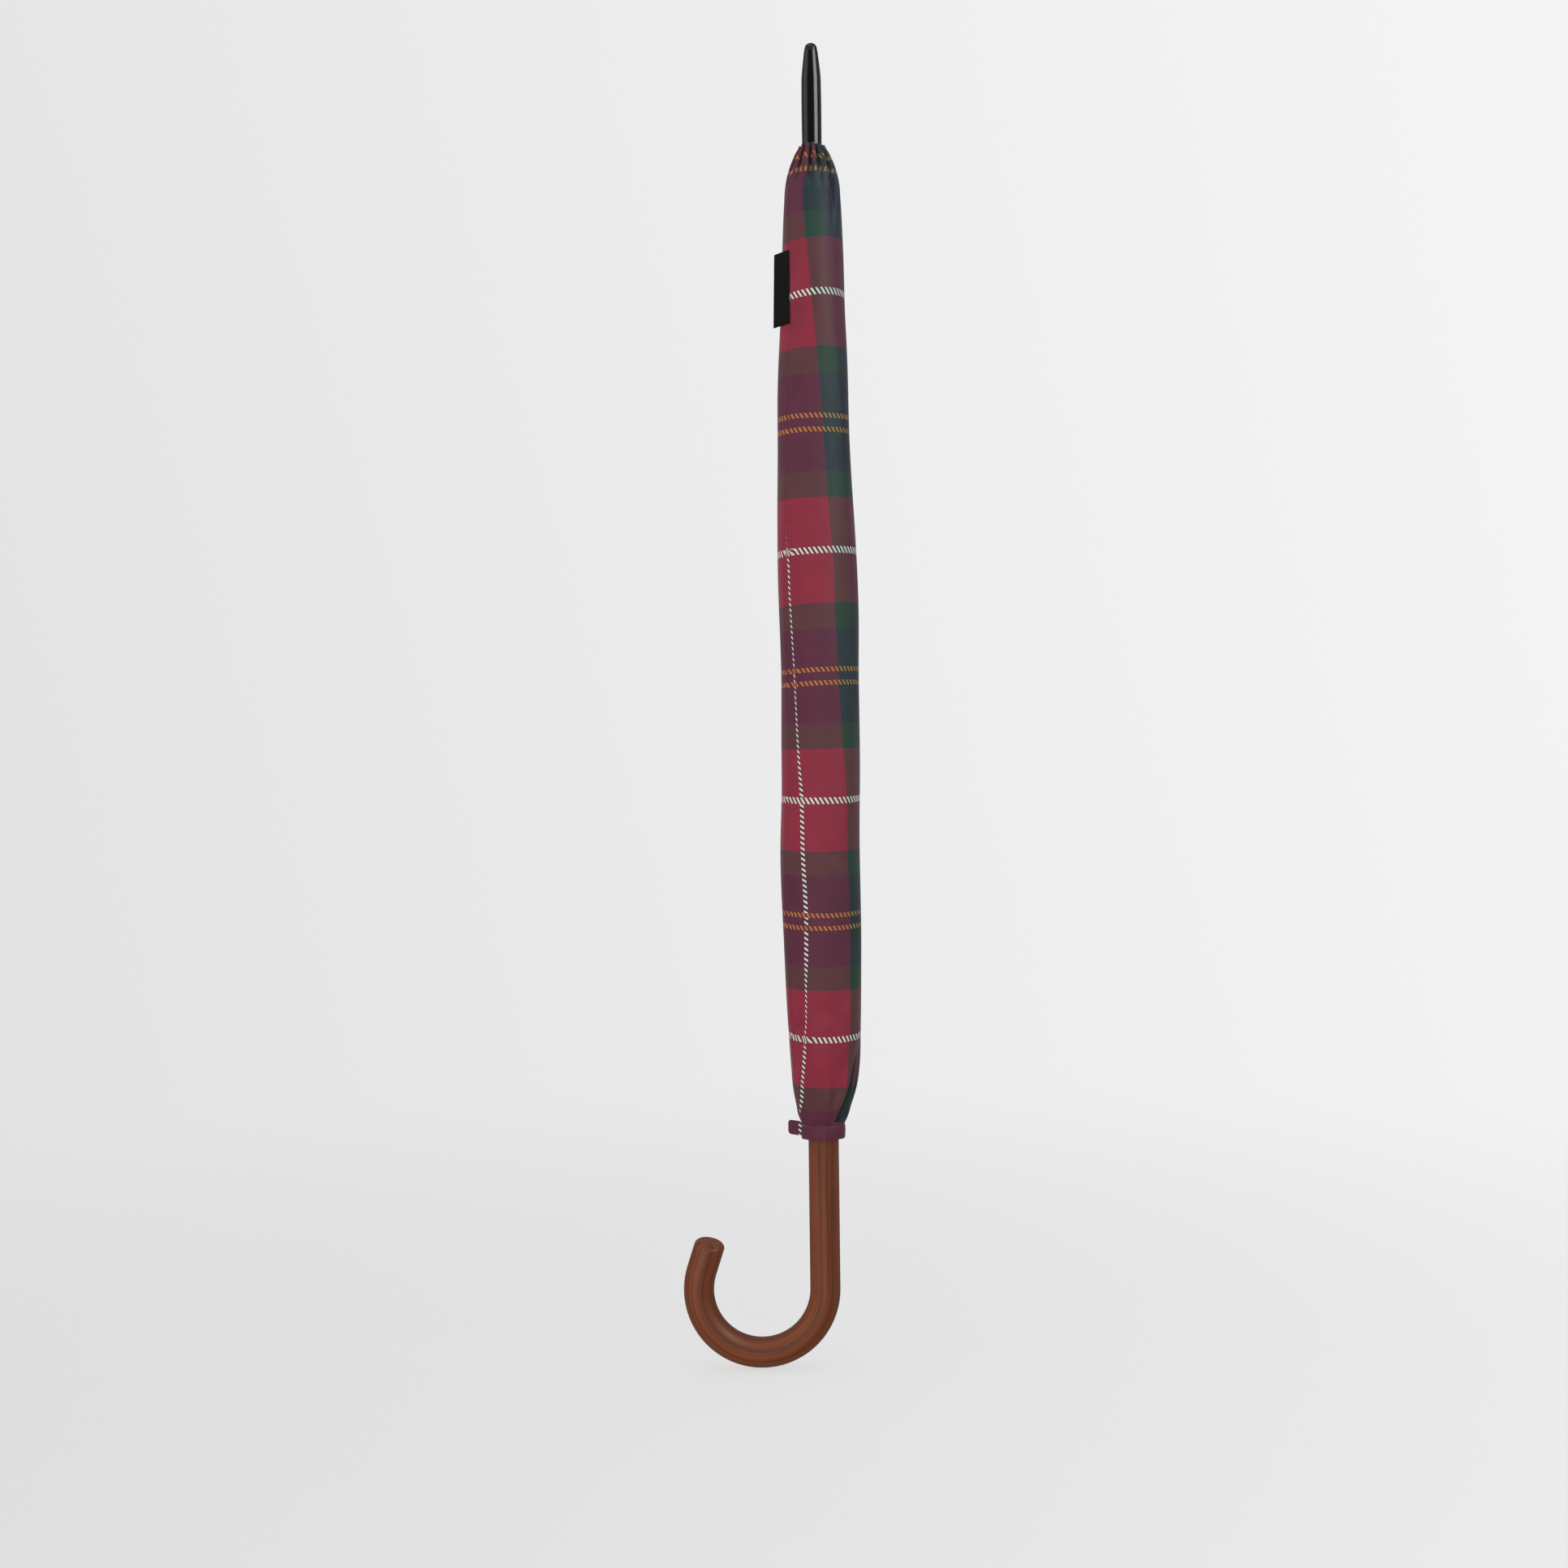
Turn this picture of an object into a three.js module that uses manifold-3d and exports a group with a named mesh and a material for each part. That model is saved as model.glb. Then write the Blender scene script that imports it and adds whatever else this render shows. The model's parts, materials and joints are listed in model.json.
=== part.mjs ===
// A stick umbrella with a wooden crook handle, folded inside its fabric carry sleeve.
//
// Millimetres. +Z runs up the shaft, from the hand grip to the ferrule, and the crook
// turns towards -X. The origin is on the shaft's axis in the middle of the straight grip.
// Eight steel ribs hang from the top notch, one canopy gore lies over each gap between
// two ribs, and eight stretchers join the ribs to the runner that slides on the shaft.

import * as THREE from "three";
import { mergeVertices } from "three/addons/utils/BufferGeometryUtils.js";
import Module from "manifold-3d";

const wasm = await Module();
wasm.setup();

// ---------------------------------------------------------------- driving dimensions

const GAP = 0.3; // between pieces that touch on the real umbrella
const OVERSHOOT = 1; // how far a cutter runs past the face it opens
const ROUND = 24; // facets round a large turned piece
const ROUND_MEDIUM = 20;
const ROUND_PIN = 12;
const ROUND_WIRE = 8;
const RIB_COUNT = 8;
const SECTOR = (2 * Math.PI) / RIB_COUNT;
const FIRST_RIB_AZIMUTH = SECTOR / 2;

// crook handle
const HANDLE_RADIUS = 10.3;
const HANDLE_TOP = 78;
const CROOK_RADIUS = 43; // of the crook's centre line
const CROOK_CENTRE_Z = -54;
const CROOK_TURN = THREE.MathUtils.degToRad(198);
const CROOK_END_Z = CROOK_CENTRE_Z + 34.5; // the flat cut at the crook's free end
const CROOK_TAIL = 27; // straight length past the turn, before the cut
const HANDLE_STEPS = 36;
const SOCKET_BOTTOM = 42;

// shaft and ferrule
const SHAFT_RADIUS = 5;
const SHAFT_WALL = 0.8;
const SHAFT_BOTTOM = 44;
const SHAFT_TOP = 740;
const BORE_RADIUS = SHAFT_RADIUS + GAP;
const FERRULE_BOTTOM = 712.5;
const FERRULE_TIP = 793.4;
const FERRULE_RADIUS = 6.7;
const FERRULE_TAPER = 26;
const FERRULE_SOCKET_TOP = 742;
// The ferrule's rounded tip: radius, and distance below the very end.
const FERRULE_NOSE = [
  [6.15, 19],
  [5.4, 11],
  [4.5, 4],
  [3.7, 1.3],
  [2.4, 0],
];

// ribs: a bowed steel channel each
const RIB_HINGE = { radius: 10.5, z: 702 };
const RIB_WIDTH = 3.2;
const RIB_DEPTH = 2.6;
const RIB_WALL = 0.5;
const RIB_START = 697;
const RIB_END = 94;
const RIB_SPLAY = 0.038; // outward slope at the hinge
const RIB_BOW = 5.234e-5; // curvature term of the bow, per millimetre
const EYE_RADIUS = 1.9;
const EYE_HOLE = 0.75;
const EYE_WIDTH = 2.4;
const WIRE_RADIUS = 0.45;
const RIB_STEPS = 7;
// The crimped tail under a rib's eye: how far it stands in and out from the hinge line.
const RIB_TAIL = { inTop: 1.1, inBottom: 0.9, outTop: 1.3, outBottom: 1.4, overlap: 4 };
const TIP_END = 84;
const TIP = { radius: 2.1, neck: 1.5, end: 1.2, neckUp: 5, beadTop: 3, beadBottom: 1.2, facets: 10 };

// stretchers: a flat bar each, forked round its rib
const PIVOT_Z = 412; // where a stretcher is riveted to its rib
const PIVOT_HOLE = 0.95;
const RIVET_RADIUS = 0.65;
const BAR_WIDTH = 2.6;
const BAR_DEPTH = 2.4;
const CHEEK_EYE = 1.55;
const CHEEK_INNER = 1.9;
const CHEEK_OUTER = 2.7;
const NOSE = { radius: 11.2, z: 126 }; // centre of a stretcher's end in the runner
const NOSE_RADIUS = 1.2;
const FORK = { length: 8, toRib: 0.5, rivetProud: 0.5, behind: 9, ahead: 6, above: 14, below: 12 };
const CHEEK_ARC = { from: -0.67, to: 2.5, lead: 1.2 }; // radians, and the cheek's front edge

// runner, springs and stop
const RUNNER_BOTTOM = 90;
const RUNNER_TUBE_RADIUS = 8;
const COLLAR = { proud: 0.6, height: 2.5, chamfer: 1 };
const CROWN = { bottom: 121, top: 131, radius: 12, flare: 1.5 };
const CROWN_SLOT = { width: 3.6, floor: 9.6, bottom: 119 };
const RUNNER_SLOT = 2.2;
const RUNNER_WIRE = { radius: 8.6, grooveHalf: 0.7, depth: 1.2 };
const SPRING = { height: 24, proud: 7.4, thickness: 1.2, root: 0.5, foot: 3, catch: 5 };
const BOTTOM_SPRING_Z = 94;
const TOP_SPRING_Z = 369.5;
const STOP_PIN = { radius: 1, halfLength: 6.3, z: 438.5 };

// top notch, washer and cap
const NOTCH = { bottom: 699, top: 706, radius: 12.6, chamfer: 1 };
const NOTCH_GROOVE = { radius: 9.7, half: 0.9, slotFloor: 8 };
const NOTCH_SLOT = 3.2;
const WASHER = { bottom: 706.4, top: 707.2, radius: 11.6 };
const CAP = { bottom: 709.2, top: 712.1, radius: 9.7, topRadius: 8.2 };

// canopy: the folded gores fill a ring between the ribs and the sleeve
const GORE_TOP = 696;
const GORE_BOTTOM = 96;
const GORE_TO_RIB = 0.9;
const GORE_TO_SLEEVE = 5;
const GORE_LEAST = 1.4; // least thickness of the folded cloth
const GORE_SIDE_GAP = 0.5;
const GORE_REACH = 40; // past the widest sleeve
const GORE_STEPS = 4;

// tie strap, folded along the first rib's seam near the hem
const STRAP = { width: 12, thickness: 0.7, bottom: 180, top: 262, fromSleeve: 2.6 };
const STUD = { face: 4.2, back: 4.8, thickness: 0.7, up: 8, off: 0.2, facets: 14 };

// carry sleeve: outer radius at each height, from the mouth to the gathered end
const SLEEVE_OUTLINE = [
  [14.9, 60.3],
  [18.3, 70],
  [21.3, 81],
  [23.3, 98],
  [24.7, 120],
  [26, 170],
  [27, 240],
  [26.4, 330],
  [26.9, 440],
  [25.2, 500],
  [22.8, 590],
  [20.4, 657],
  [18.8, 692],
  [17.6, 702],
  [15, 709],
  [9.4, 722],
].map(([radius, z]) => new THREE.Vector2(radius, z));
const SLEEVE_CLOTH = 1.1;
const SLEEVE_STEPS = 15;
const SLEEVE_SAMPLES = 200;
const SLEEVE_TO_FERRULE = 0.4;
const HEM = { bottom: 48.6, top: 60, radius: 15, cloth: 1.3 };
const TAB = { reach: 24, bottom: 50.8, top: 60.6, thickness: 2, corner: 2.5, facets: 4 };
const LABEL = { bottom: 600, top: 650, width: 14.4, thickness: 0.6, seamAzimuth: -145 };

// ---------------------------------------------------------------- materials

const WOOD = paint(0x7a3f22, 0.35, 0);
const BLACK_GLOSS = paint(0x0a0a0b, 0.15, 0);
const STEEL = paint(0x9a9ca0, 0.3, 1);
const BLACK_STEEL = paint(0x1a1b1d, 0.4, 0.9);
const BRIGHT_STEEL = paint(0xc4c6c8, 0.2, 1);
const BLACK_PLASTIC = paint(0x121213, 0.5, 0);
const CANOPY_CLOTH = paint(0x5c2a38, 0.8, 0);
const SLEEVE_CLOTH_RED = paint(0x7a3040, 0.8, 0);
const HEM_CLOTH = paint(0x57304a, 0.8, 0);
const LABEL_CLOTH = paint(0x0c0c0c, 0.7, 0);

function paint(color, roughness, metalness) {
  return new THREE.MeshStandardMaterial({ color, roughness, metalness });
}

// ---------------------------------------------------------------- solids

function solid(geometry) {
  const bare = geometry.index ? geometry.toNonIndexed() : geometry.clone();
  bare.deleteAttribute("normal");
  bare.deleteAttribute("uv");
  const merged = mergeVertices(bare, 1e-3);
  const vertProperties = merged.attributes.position.array;
  const triVerts = new Uint32Array(merged.index.array);
  const made = new wasm.Manifold(new wasm.Mesh({ numProp: 3, vertProperties, triVerts }));
  if (made.volume() > 0) return made;
  triVerts.reverse();
  return new wasm.Manifold(new wasm.Mesh({ numProp: 3, vertProperties, triVerts }));
}

function surface(body) {
  const { vertProperties, triVerts } = body.getMesh();
  return new THREE.BufferGeometry()
    .setAttribute("position", new THREE.BufferAttribute(vertProperties, 3))
    .setIndex(new THREE.BufferAttribute(triVerts, 1));
}

// A body of revolution about +Z. The profile's points are [radius, z].
function lathe(profile, segments = ROUND) {
  const points = profile.map(([radius, z]) => new THREE.Vector2(radius, z));
  return solid(new THREE.LatheGeometry(points, segments).rotateX(Math.PI / 2));
}

function ring(inner, outer, bottom, top, segments) {
  const profile = [
    [inner, bottom],
    [outer, bottom],
    [outer, top],
    [inner, top],
    [inner, bottom],
  ];
  return lathe(profile, segments);
}

function rod(radius, bottom, top, segments) {
  return solid(
    new THREE.CylinderGeometry(radius, radius, top - bottom, segments)
      .rotateX(Math.PI / 2)
      .translate(0, 0, (bottom + top) / 2),
  );
}

function block([x0, x1], [y0, y1], [z0, z1]) {
  return solid(
    new THREE.BoxGeometry(x1 - x0, y1 - y0, z1 - z0).translate(
      (x0 + x1) / 2,
      (y0 + y1) / 2,
      (z0 + z1) / 2,
    ),
  );
}

// A plate whose outline is drawn in the plane of [x, z], centred on y = 0.
function plate(shape, thickness, curveSegments = 5) {
  return solid(
    new THREE.ExtrudeGeometry(shape, {
      depth: thickness,
      bevelEnabled: false,
      curveSegments,
    })
      .rotateX(Math.PI / 2)
      .translate(0, thickness / 2, 0),
  );
}

function crossPin(radius, halfLength, x, z, segments = ROUND_WIRE) {
  return solid(
    new THREE.CylinderGeometry(radius, radius, 2 * halfLength, segments).translate(x, 0, z),
  );
}

const turned = (body, azimuth) => body.rotate([0, 0, THREE.MathUtils.radToDeg(azimuth)]);
const ribAzimuth = (k) => FIRST_RIB_AZIMUTH + k * SECTOR;

// ---------------------------------------------------------------- shared curves

// Radius of a folded rib's centre line at height z.
function ribRadius(z) {
  const down = RIB_HINGE.z - z;
  return RIB_HINGE.radius + RIB_SPLAY * down - RIB_BOW * down * down;
}

const sleeveCurve = new THREE.SplineCurve(SLEEVE_OUTLINE);

// The sleeve's outer line between two heights, moved inwards.
function sleeveLine(inset, from, to) {
  return sleeveCurve
    .getPoints(SLEEVE_STEPS)
    .filter((p) => p.y >= from && p.y <= to)
    .map((p) => [p.x - inset, p.y]);
}

// ---------------------------------------------------------------- handle, shaft, ferrule

class HandlePath extends THREE.Curve {
  static straight = HANDLE_TOP - CROOK_CENTRE_Z;
  static length = HandlePath.straight + CROOK_RADIUS * CROOK_TURN + CROOK_TAIL;

  getPoint(t, target = new THREE.Vector3()) {
    const along = t * HandlePath.length;
    if (along < HandlePath.straight) return target.set(0, 0, HANDLE_TOP - along);
    const past = along - HandlePath.straight;
    const turn = Math.min(past / CROOK_RADIUS, CROOK_TURN);
    const tail = past - turn * CROOK_RADIUS;
    return target.set(
      CROOK_RADIUS * (Math.cos(turn) - 1) - tail * Math.sin(turn),
      0,
      CROOK_CENTRE_Z - CROOK_RADIUS * Math.sin(turn) - tail * Math.cos(turn),
    );
  }
}

function makeHandle() {
  const section = new THREE.Shape().absarc(0, 0, HANDLE_RADIUS, 0, 2 * Math.PI);
  const bent = new THREE.ExtrudeGeometry(section, {
    extrudePath: new HandlePath(),
    steps: HANDLE_STEPS,
    curveSegments: 8,
  });
  const aboveEnd = block(
    [-3 * CROOK_RADIUS, -CROOK_RADIUS / 2],
    [-2 * HANDLE_RADIUS, 2 * HANDLE_RADIUS],
    [CROOK_END_Z, CROOK_END_Z + 2 * CROOK_TAIL],
  );
  const socket = rod(BORE_RADIUS, SOCKET_BOTTOM, HANDLE_TOP + OVERSHOOT, ROUND_MEDIUM);
  return solid(bent).subtract(aboveEnd).subtract(socket);
}

function makeShaft() {
  const tube = ring(SHAFT_RADIUS - SHAFT_WALL, SHAFT_RADIUS, SHAFT_BOTTOM, SHAFT_TOP, ROUND_MEDIUM);
  const halfSlot = SPRING.thickness / 2 + GAP;
  const slots = [BOTTOM_SPRING_Z, TOP_SPRING_Z].map((z) =>
    block(
      [0, 2 * SHAFT_RADIUS],
      [-halfSlot, halfSlot],
      [z - OVERSHOOT, z + SPRING.height + OVERSHOOT],
    ),
  );
  const { radius, z: pinZ } = STOP_PIN;
  const pinHole = crossPin(radius + GAP, 2 * SHAFT_RADIUS, 0, pinZ, ROUND_PIN);
  return tube.subtract(slots[0]).subtract(slots[1]).subtract(pinHole);
}

function makeFerrule() {
  const shoulder = FERRULE_TIP - FERRULE_TAPER;
  const profile = [
    [0, FERRULE_SOCKET_TOP],
    [BORE_RADIUS, FERRULE_SOCKET_TOP],
    [BORE_RADIUS, FERRULE_BOTTOM],
    [FERRULE_RADIUS, FERRULE_BOTTOM],
    [FERRULE_RADIUS, shoulder],
    ...FERRULE_NOSE.map(([radius, below]) => [radius, FERRULE_TIP - below]),
    [0, FERRULE_TIP],
  ];
  return lathe(profile);
}

// ---------------------------------------------------------------- notch and runner

function slotCutters(width, floor, bottom, top) {
  const cutter = block(
    [floor, 2 * NOTCH.radius],
    [-width / 2, width / 2],
    [bottom - OVERSHOOT, top + OVERSHOOT],
  );
  return Array.from({ length: RIB_COUNT }, (_, k) => turned(cutter, ribAzimuth(k)));
}

function makeNotch() {
  const { bottom, top, radius, chamfer } = NOTCH;
  const { radius: groove, half: grooveHalf, slotFloor } = NOTCH_GROOVE;
  const profile = [
    [BORE_RADIUS, bottom],
    [radius, bottom],
    [radius, RIB_HINGE.z - grooveHalf],
    [groove, RIB_HINGE.z - grooveHalf],
    [groove, RIB_HINGE.z + grooveHalf],
    [radius, RIB_HINGE.z + grooveHalf],
    [radius, top - chamfer],
    [radius - chamfer, top],
    [BORE_RADIUS, top],
    [BORE_RADIUS, bottom],
  ];
  const cutters = slotCutters(NOTCH_SLOT, slotFloor, bottom, top);
  return cutters.reduce((body, cutter) => body.subtract(cutter), lathe(profile));
}

function makeRunner() {
  const { bottom, top, radius, flare } = CROWN;
  const { proud, height, chamfer } = COLLAR;
  const wireSeat = top - RUNNER_WIRE.depth;
  const wireOuter = RUNNER_WIRE.radius + RUNNER_WIRE.grooveHalf;
  const wireInner = RUNNER_WIRE.radius - RUNNER_WIRE.grooveHalf;
  const profile = [
    [BORE_RADIUS, RUNNER_BOTTOM],
    [RUNNER_TUBE_RADIUS + proud, RUNNER_BOTTOM],
    [RUNNER_TUBE_RADIUS + proud, RUNNER_BOTTOM + height],
    [RUNNER_TUBE_RADIUS, RUNNER_BOTTOM + height + chamfer],
    [RUNNER_TUBE_RADIUS, bottom - flare],
    [radius, bottom],
    [radius, top],
    [wireOuter, top],
    [wireOuter, wireSeat],
    [wireInner, wireSeat],
    [wireInner, top],
    [BORE_RADIUS, top],
    [BORE_RADIUS, RUNNER_BOTTOM],
  ];
  const springSlot = block(
    [0, RUNNER_TUBE_RADIUS],
    [-RUNNER_SLOT / 2, RUNNER_SLOT / 2],
    [RUNNER_BOTTOM - OVERSHOOT, top + OVERSHOOT],
  );
  const cutters = slotCutters(CROWN_SLOT.width, CROWN_SLOT.floor, CROWN_SLOT.bottom, top);
  const tube = lathe(profile).subtract(springSlot);
  return cutters.reduce((body, cutter) => body.subtract(cutter), tube);
}

function wire(radius, z, segments) {
  return solid(
    new THREE.TorusGeometry(radius, WIRE_RADIUS, 5, segments).translate(0, 0, z),
  );
}

// A triangular catch that swings into its slot in the shaft.
function makeSpring(z) {
  const { height, proud, thickness, root, foot, catch: edge } = SPRING;
  const outline = new THREE.Shape()
    .moveTo(root, z)
    .lineTo(foot, z)
    .lineTo(proud, z + height - edge)
    .lineTo(proud, z + height)
    .lineTo(root, z + height);
  return plate(outline, thickness);
}

// ---------------------------------------------------------------- ribs and stretchers

class RibPath extends THREE.Curve {
  getPoint(t, target = new THREE.Vector3()) {
    const z = RIB_START + t * (RIB_END - RIB_START);
    return target.set(ribRadius(z), 0, z);
  }
}

// The channel opens towards the shaft. Its root is crimped into an eye on the notch wire.
function makeRib() {
  const half = RIB_WIDTH / 2;
  const inside = half - RIB_WALL;
  const deep = RIB_DEPTH / 2;
  const channel = new THREE.Shape()
    .moveTo(-half, -deep)
    .lineTo(half, -deep)
    .lineTo(half, deep)
    .lineTo(inside, deep)
    .lineTo(inside, RIB_WALL - deep)
    .lineTo(-inside, RIB_WALL - deep)
    .lineTo(-inside, deep)
    .lineTo(-half, deep);
  const bar = new THREE.ExtrudeGeometry(channel, { extrudePath: new RibPath(), steps: RIB_STEPS });
  const { radius, z } = RIB_HINGE;
  const tail = new THREE.Shape()
    .moveTo(radius - RIB_TAIL.inTop, z)
    .lineTo(radius - RIB_TAIL.inBottom, RIB_START - RIB_TAIL.overlap)
    .lineTo(radius + RIB_TAIL.outBottom, RIB_START - RIB_TAIL.overlap)
    .lineTo(radius + RIB_TAIL.outTop, z);
  const disc = new THREE.Shape().absarc(radius, z, EYE_RADIUS, 0, 2 * Math.PI);
  const eye = plate(disc, EYE_WIDTH).add(plate(tail, EYE_WIDTH));
  return solid(bar)
    .add(eye)
    .subtract(crossPin(EYE_HOLE, RIB_WIDTH, radius, z))
    .subtract(crossPin(PIVOT_HOLE, RIB_WIDTH, ribRadius(PIVOT_Z), PIVOT_Z));
}

function makeRibTip() {
  const profile = [
    [0, RIB_END - GAP],
    [TIP.neck, RIB_END - GAP],
    [TIP.neck, TIP_END + TIP.neckUp],
    [TIP.radius, TIP_END + TIP.beadTop],
    [TIP.radius, TIP_END + TIP.beadBottom],
    [TIP.end, TIP_END],
    [0, TIP_END],
  ];
  return lathe(profile, TIP.facets).translate([ribRadius(RIB_END), 0, 0]);
}

// A bar from the runner to the fork that straddles the rib, with the rivet in its cheeks.
function makeStretcher() {
  const pivot = ribRadius(PIVOT_Z);
  const half = BAR_DEPTH / 2;
  const top = PIVOT_Z - FORK.length;
  const topRadius = ribRadius(top) - RIB_DEPTH / 2 - FORK.toRib - half;
  const bar = new THREE.Shape()
    .absarc(NOSE.radius, NOSE.z, NOSE_RADIUS, Math.PI, 2 * Math.PI)
    .lineTo(topRadius + half, top)
    .lineTo(topRadius - half, top);
  const cheek = new THREE.Shape()
    .moveTo(topRadius - half, top - FORK.length)
    .lineTo(topRadius + half, top - FORK.length)
    .lineTo(pivot + CHEEK_ARC.lead, PIVOT_Z - 1)
    .absarc(pivot, PIVOT_Z, CHEEK_EYE, CHEEK_ARC.from, CHEEK_ARC.to)
    .lineTo(topRadius - half, top);
  const joint = block(
    [topRadius - half, topRadius + half],
    [-CHEEK_OUTER, CHEEK_OUTER],
    [top - FORK.length, top],
  );
  const between = block(
    [pivot - FORK.behind, pivot + FORK.ahead],
    [-CHEEK_INNER, CHEEK_INNER],
    [top, top + FORK.above],
  );
  const clearOfRib = block(
    [topRadius + half, pivot + FORK.ahead],
    [-CHEEK_INNER, CHEEK_INNER],
    [top - FORK.below, top + FORK.above],
  );
  const fork = plate(cheek, 2 * CHEEK_OUTER).subtract(between).subtract(clearOfRib);
  const rivet = crossPin(RIVET_RADIUS, CHEEK_OUTER + FORK.rivetProud, pivot, PIVOT_Z);
  return plate(bar, BAR_WIDTH).add(joint).add(fork).add(rivet);
}

// ---------------------------------------------------------------- canopy

// Radius of the folded gores' inner face at height z, just outside the ribs.
function goreInnerRadius(z) {
  return ribRadius(z) + RIB_DEPTH / 2 + GORE_TO_RIB;
}

function makeGores() {
  const length = GORE_BOTTOM - GORE_TOP;
  const heights = Array.from(
    { length: GORE_STEPS + 1 },
    (_, k) => GORE_TOP + (k / GORE_STEPS) * length,
  );
  const inner = heights.map((z) => [goreInnerRadius(z), z]);
  const outer = sleeveLine(GORE_TO_SLEEVE, GORE_BOTTOM, GORE_TOP).map(([radius, z]) => [
    Math.max(radius, goreInnerRadius(z) + GORE_LEAST),
    z,
  ]);
  outer[0][1] = GORE_BOTTOM;
  outer.push([goreInnerRadius(GORE_TOP) + GORE_LEAST, GORE_TOP]);
  const folded = lathe([...outer, ...inner, outer[0]], 4 * RIB_COUNT);
  const apex = GORE_SIDE_GAP / Math.sin(SECTOR / 2);
  const out = apex + GORE_REACH * Math.cos(SECTOR / 2);
  const across = GORE_REACH * Math.sin(SECTOR / 2);
  const sector = new THREE.Shape().moveTo(apex, 0).lineTo(out, -across).lineTo(out, across);
  const wedge = solid(
    new THREE.ExtrudeGeometry(sector, { depth: GORE_TOP, bevelEnabled: false }).translate(
      0,
      0,
      GORE_BOTTOM / 2,
    ),
  );
  return Array.from({ length: RIB_COUNT }, (_, k) =>
    folded.intersect(turned(wedge, ribAzimuth(k) + SECTOR / 2)),
  );
}

function sleeveRadiusAt(z) {
  const points = sleeveCurve.getPoints(SLEEVE_SAMPLES);
  return points.find((p) => p.y >= z).x;
}

function makeStrap() {
  const outside = sleeveRadiusAt(STRAP.bottom) - STRAP.fromSleeve;
  return turned(
    block(
      [outside - STRAP.thickness, outside],
      [-STRAP.width / 2, STRAP.width / 2],
      [STRAP.bottom, STRAP.top],
    ),
    ribAzimuth(0),
  );
}

function makeStrapStud() {
  const { face, back, thickness, up, off, facets } = STUD;
  const inside = sleeveRadiusAt(STRAP.bottom) - STRAP.fromSleeve + off;
  const stud = new THREE.CylinderGeometry(face, back, thickness, facets)
    .rotateZ(-Math.PI / 2)
    .translate(inside + thickness / 2, 0, STRAP.bottom + up);
  return turned(solid(stud), ribAzimuth(0));
}

// ---------------------------------------------------------------- carry sleeve

function makeSleeve() {
  const lowest = SLEEVE_OUTLINE[0];
  const highest = SLEEVE_OUTLINE[SLEEVE_OUTLINE.length - 1];
  const outer = sleeveLine(0, lowest.y, highest.y);
  const inner = sleeveLine(SLEEVE_CLOTH, lowest.y, highest.y).reverse();
  inner[0][0] = FERRULE_RADIUS + SLEEVE_TO_FERRULE;
  return lathe([...outer, ...inner, outer[0]]);
}

function makeHem() {
  return ring(HEM.radius - HEM.cloth, HEM.radius, HEM.bottom, HEM.top, ROUND);
}

// The end of the closing tab, standing out from the hem.
function makeTab() {
  const { reach, bottom, top, thickness, corner, facets } = TAB;
  const root = -HEM.radius - GAP;
  const outline = new THREE.Shape()
    .moveTo(root, bottom)
    .lineTo(root, top)
    .lineTo(-reach + corner, top)
    .absarc(-reach + corner, top - corner, corner, Math.PI / 2, Math.PI)
    .lineTo(-reach, bottom + corner)
    .absarc(-reach + corner, bottom + corner, corner, Math.PI, 1.5 * Math.PI);
  return plate(outline, thickness, facets);
}

// A woven label caught in the side seam, leaving the sleeve along its tangent.
function makeLabel() {
  const middle = (LABEL.bottom + LABEL.top) / 2;
  const off = sleeveRadiusAt(LABEL.bottom) + GAP;
  const flap = block(
    [off, off + LABEL.thickness],
    [-LABEL.width, 0],
    [LABEL.bottom - middle, LABEL.top - middle],
  );
  return turned(flap, THREE.MathUtils.degToRad(LABEL.seamAzimuth)).translate([0, 0, middle]);
}

// ---------------------------------------------------------------- assembly

const umbrella = new THREE.Group();

function add(name, body, material) {
  const mesh = new THREE.Mesh(surface(body), material);
  mesh.name = name;
  umbrella.add(mesh);
}

add("handle", makeHandle(), WOOD);
add("shaft_tube", makeShaft(), STEEL);
add("ferrule", makeFerrule(), BLACK_GLOSS);
add("top_notch", makeNotch(), BLACK_PLASTIC);
add("notch_wire", wire(RIB_HINGE.radius, RIB_HINGE.z, ROUND), BRIGHT_STEEL);
const washer = ring(BORE_RADIUS, WASHER.radius, WASHER.bottom, WASHER.top, ROUND_MEDIUM);
add("canopy_washer", washer, CANOPY_CLOTH);
const capProfile = [
  [BORE_RADIUS, CAP.bottom],
  [CAP.radius, CAP.bottom],
  [CAP.topRadius, CAP.top],
  [BORE_RADIUS, CAP.top],
  [BORE_RADIUS, CAP.bottom],
];
add("canopy_cap", lathe(capProfile), BLACK_GLOSS);
const { radius: pinRadius, halfLength, z: pinZ } = STOP_PIN;
add("stop_pin", crossPin(pinRadius, halfLength, 0, pinZ, ROUND_PIN), BRIGHT_STEEL);
add("bottom_spring", makeSpring(BOTTOM_SPRING_Z), BRIGHT_STEEL);
add("top_spring", makeSpring(TOP_SPRING_Z), BRIGHT_STEEL);
add("runner", makeRunner(), BLACK_PLASTIC);
const runnerWireZ = CROWN.top - RUNNER_WIRE.depth + GAP + WIRE_RADIUS;
add("runner_wire", wire(RUNNER_WIRE.radius, runnerWireZ, ROUND_MEDIUM), BRIGHT_STEEL);

const rib = makeRib();
const ribTip = makeRibTip();
const stretcher = makeStretcher();
const gores = makeGores();
for (let k = 0; k < RIB_COUNT; k++) {
  add(`rib_${k + 1}`, turned(rib, ribAzimuth(k)), BLACK_STEEL);
  add(`rib_tip_${k + 1}`, turned(ribTip, ribAzimuth(k)), BRIGHT_STEEL);
  add(`stretcher_${k + 1}`, turned(stretcher, ribAzimuth(k)), BLACK_STEEL);
  add(`gore_${k + 1}`, gores[k], CANOPY_CLOTH);
}

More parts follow.
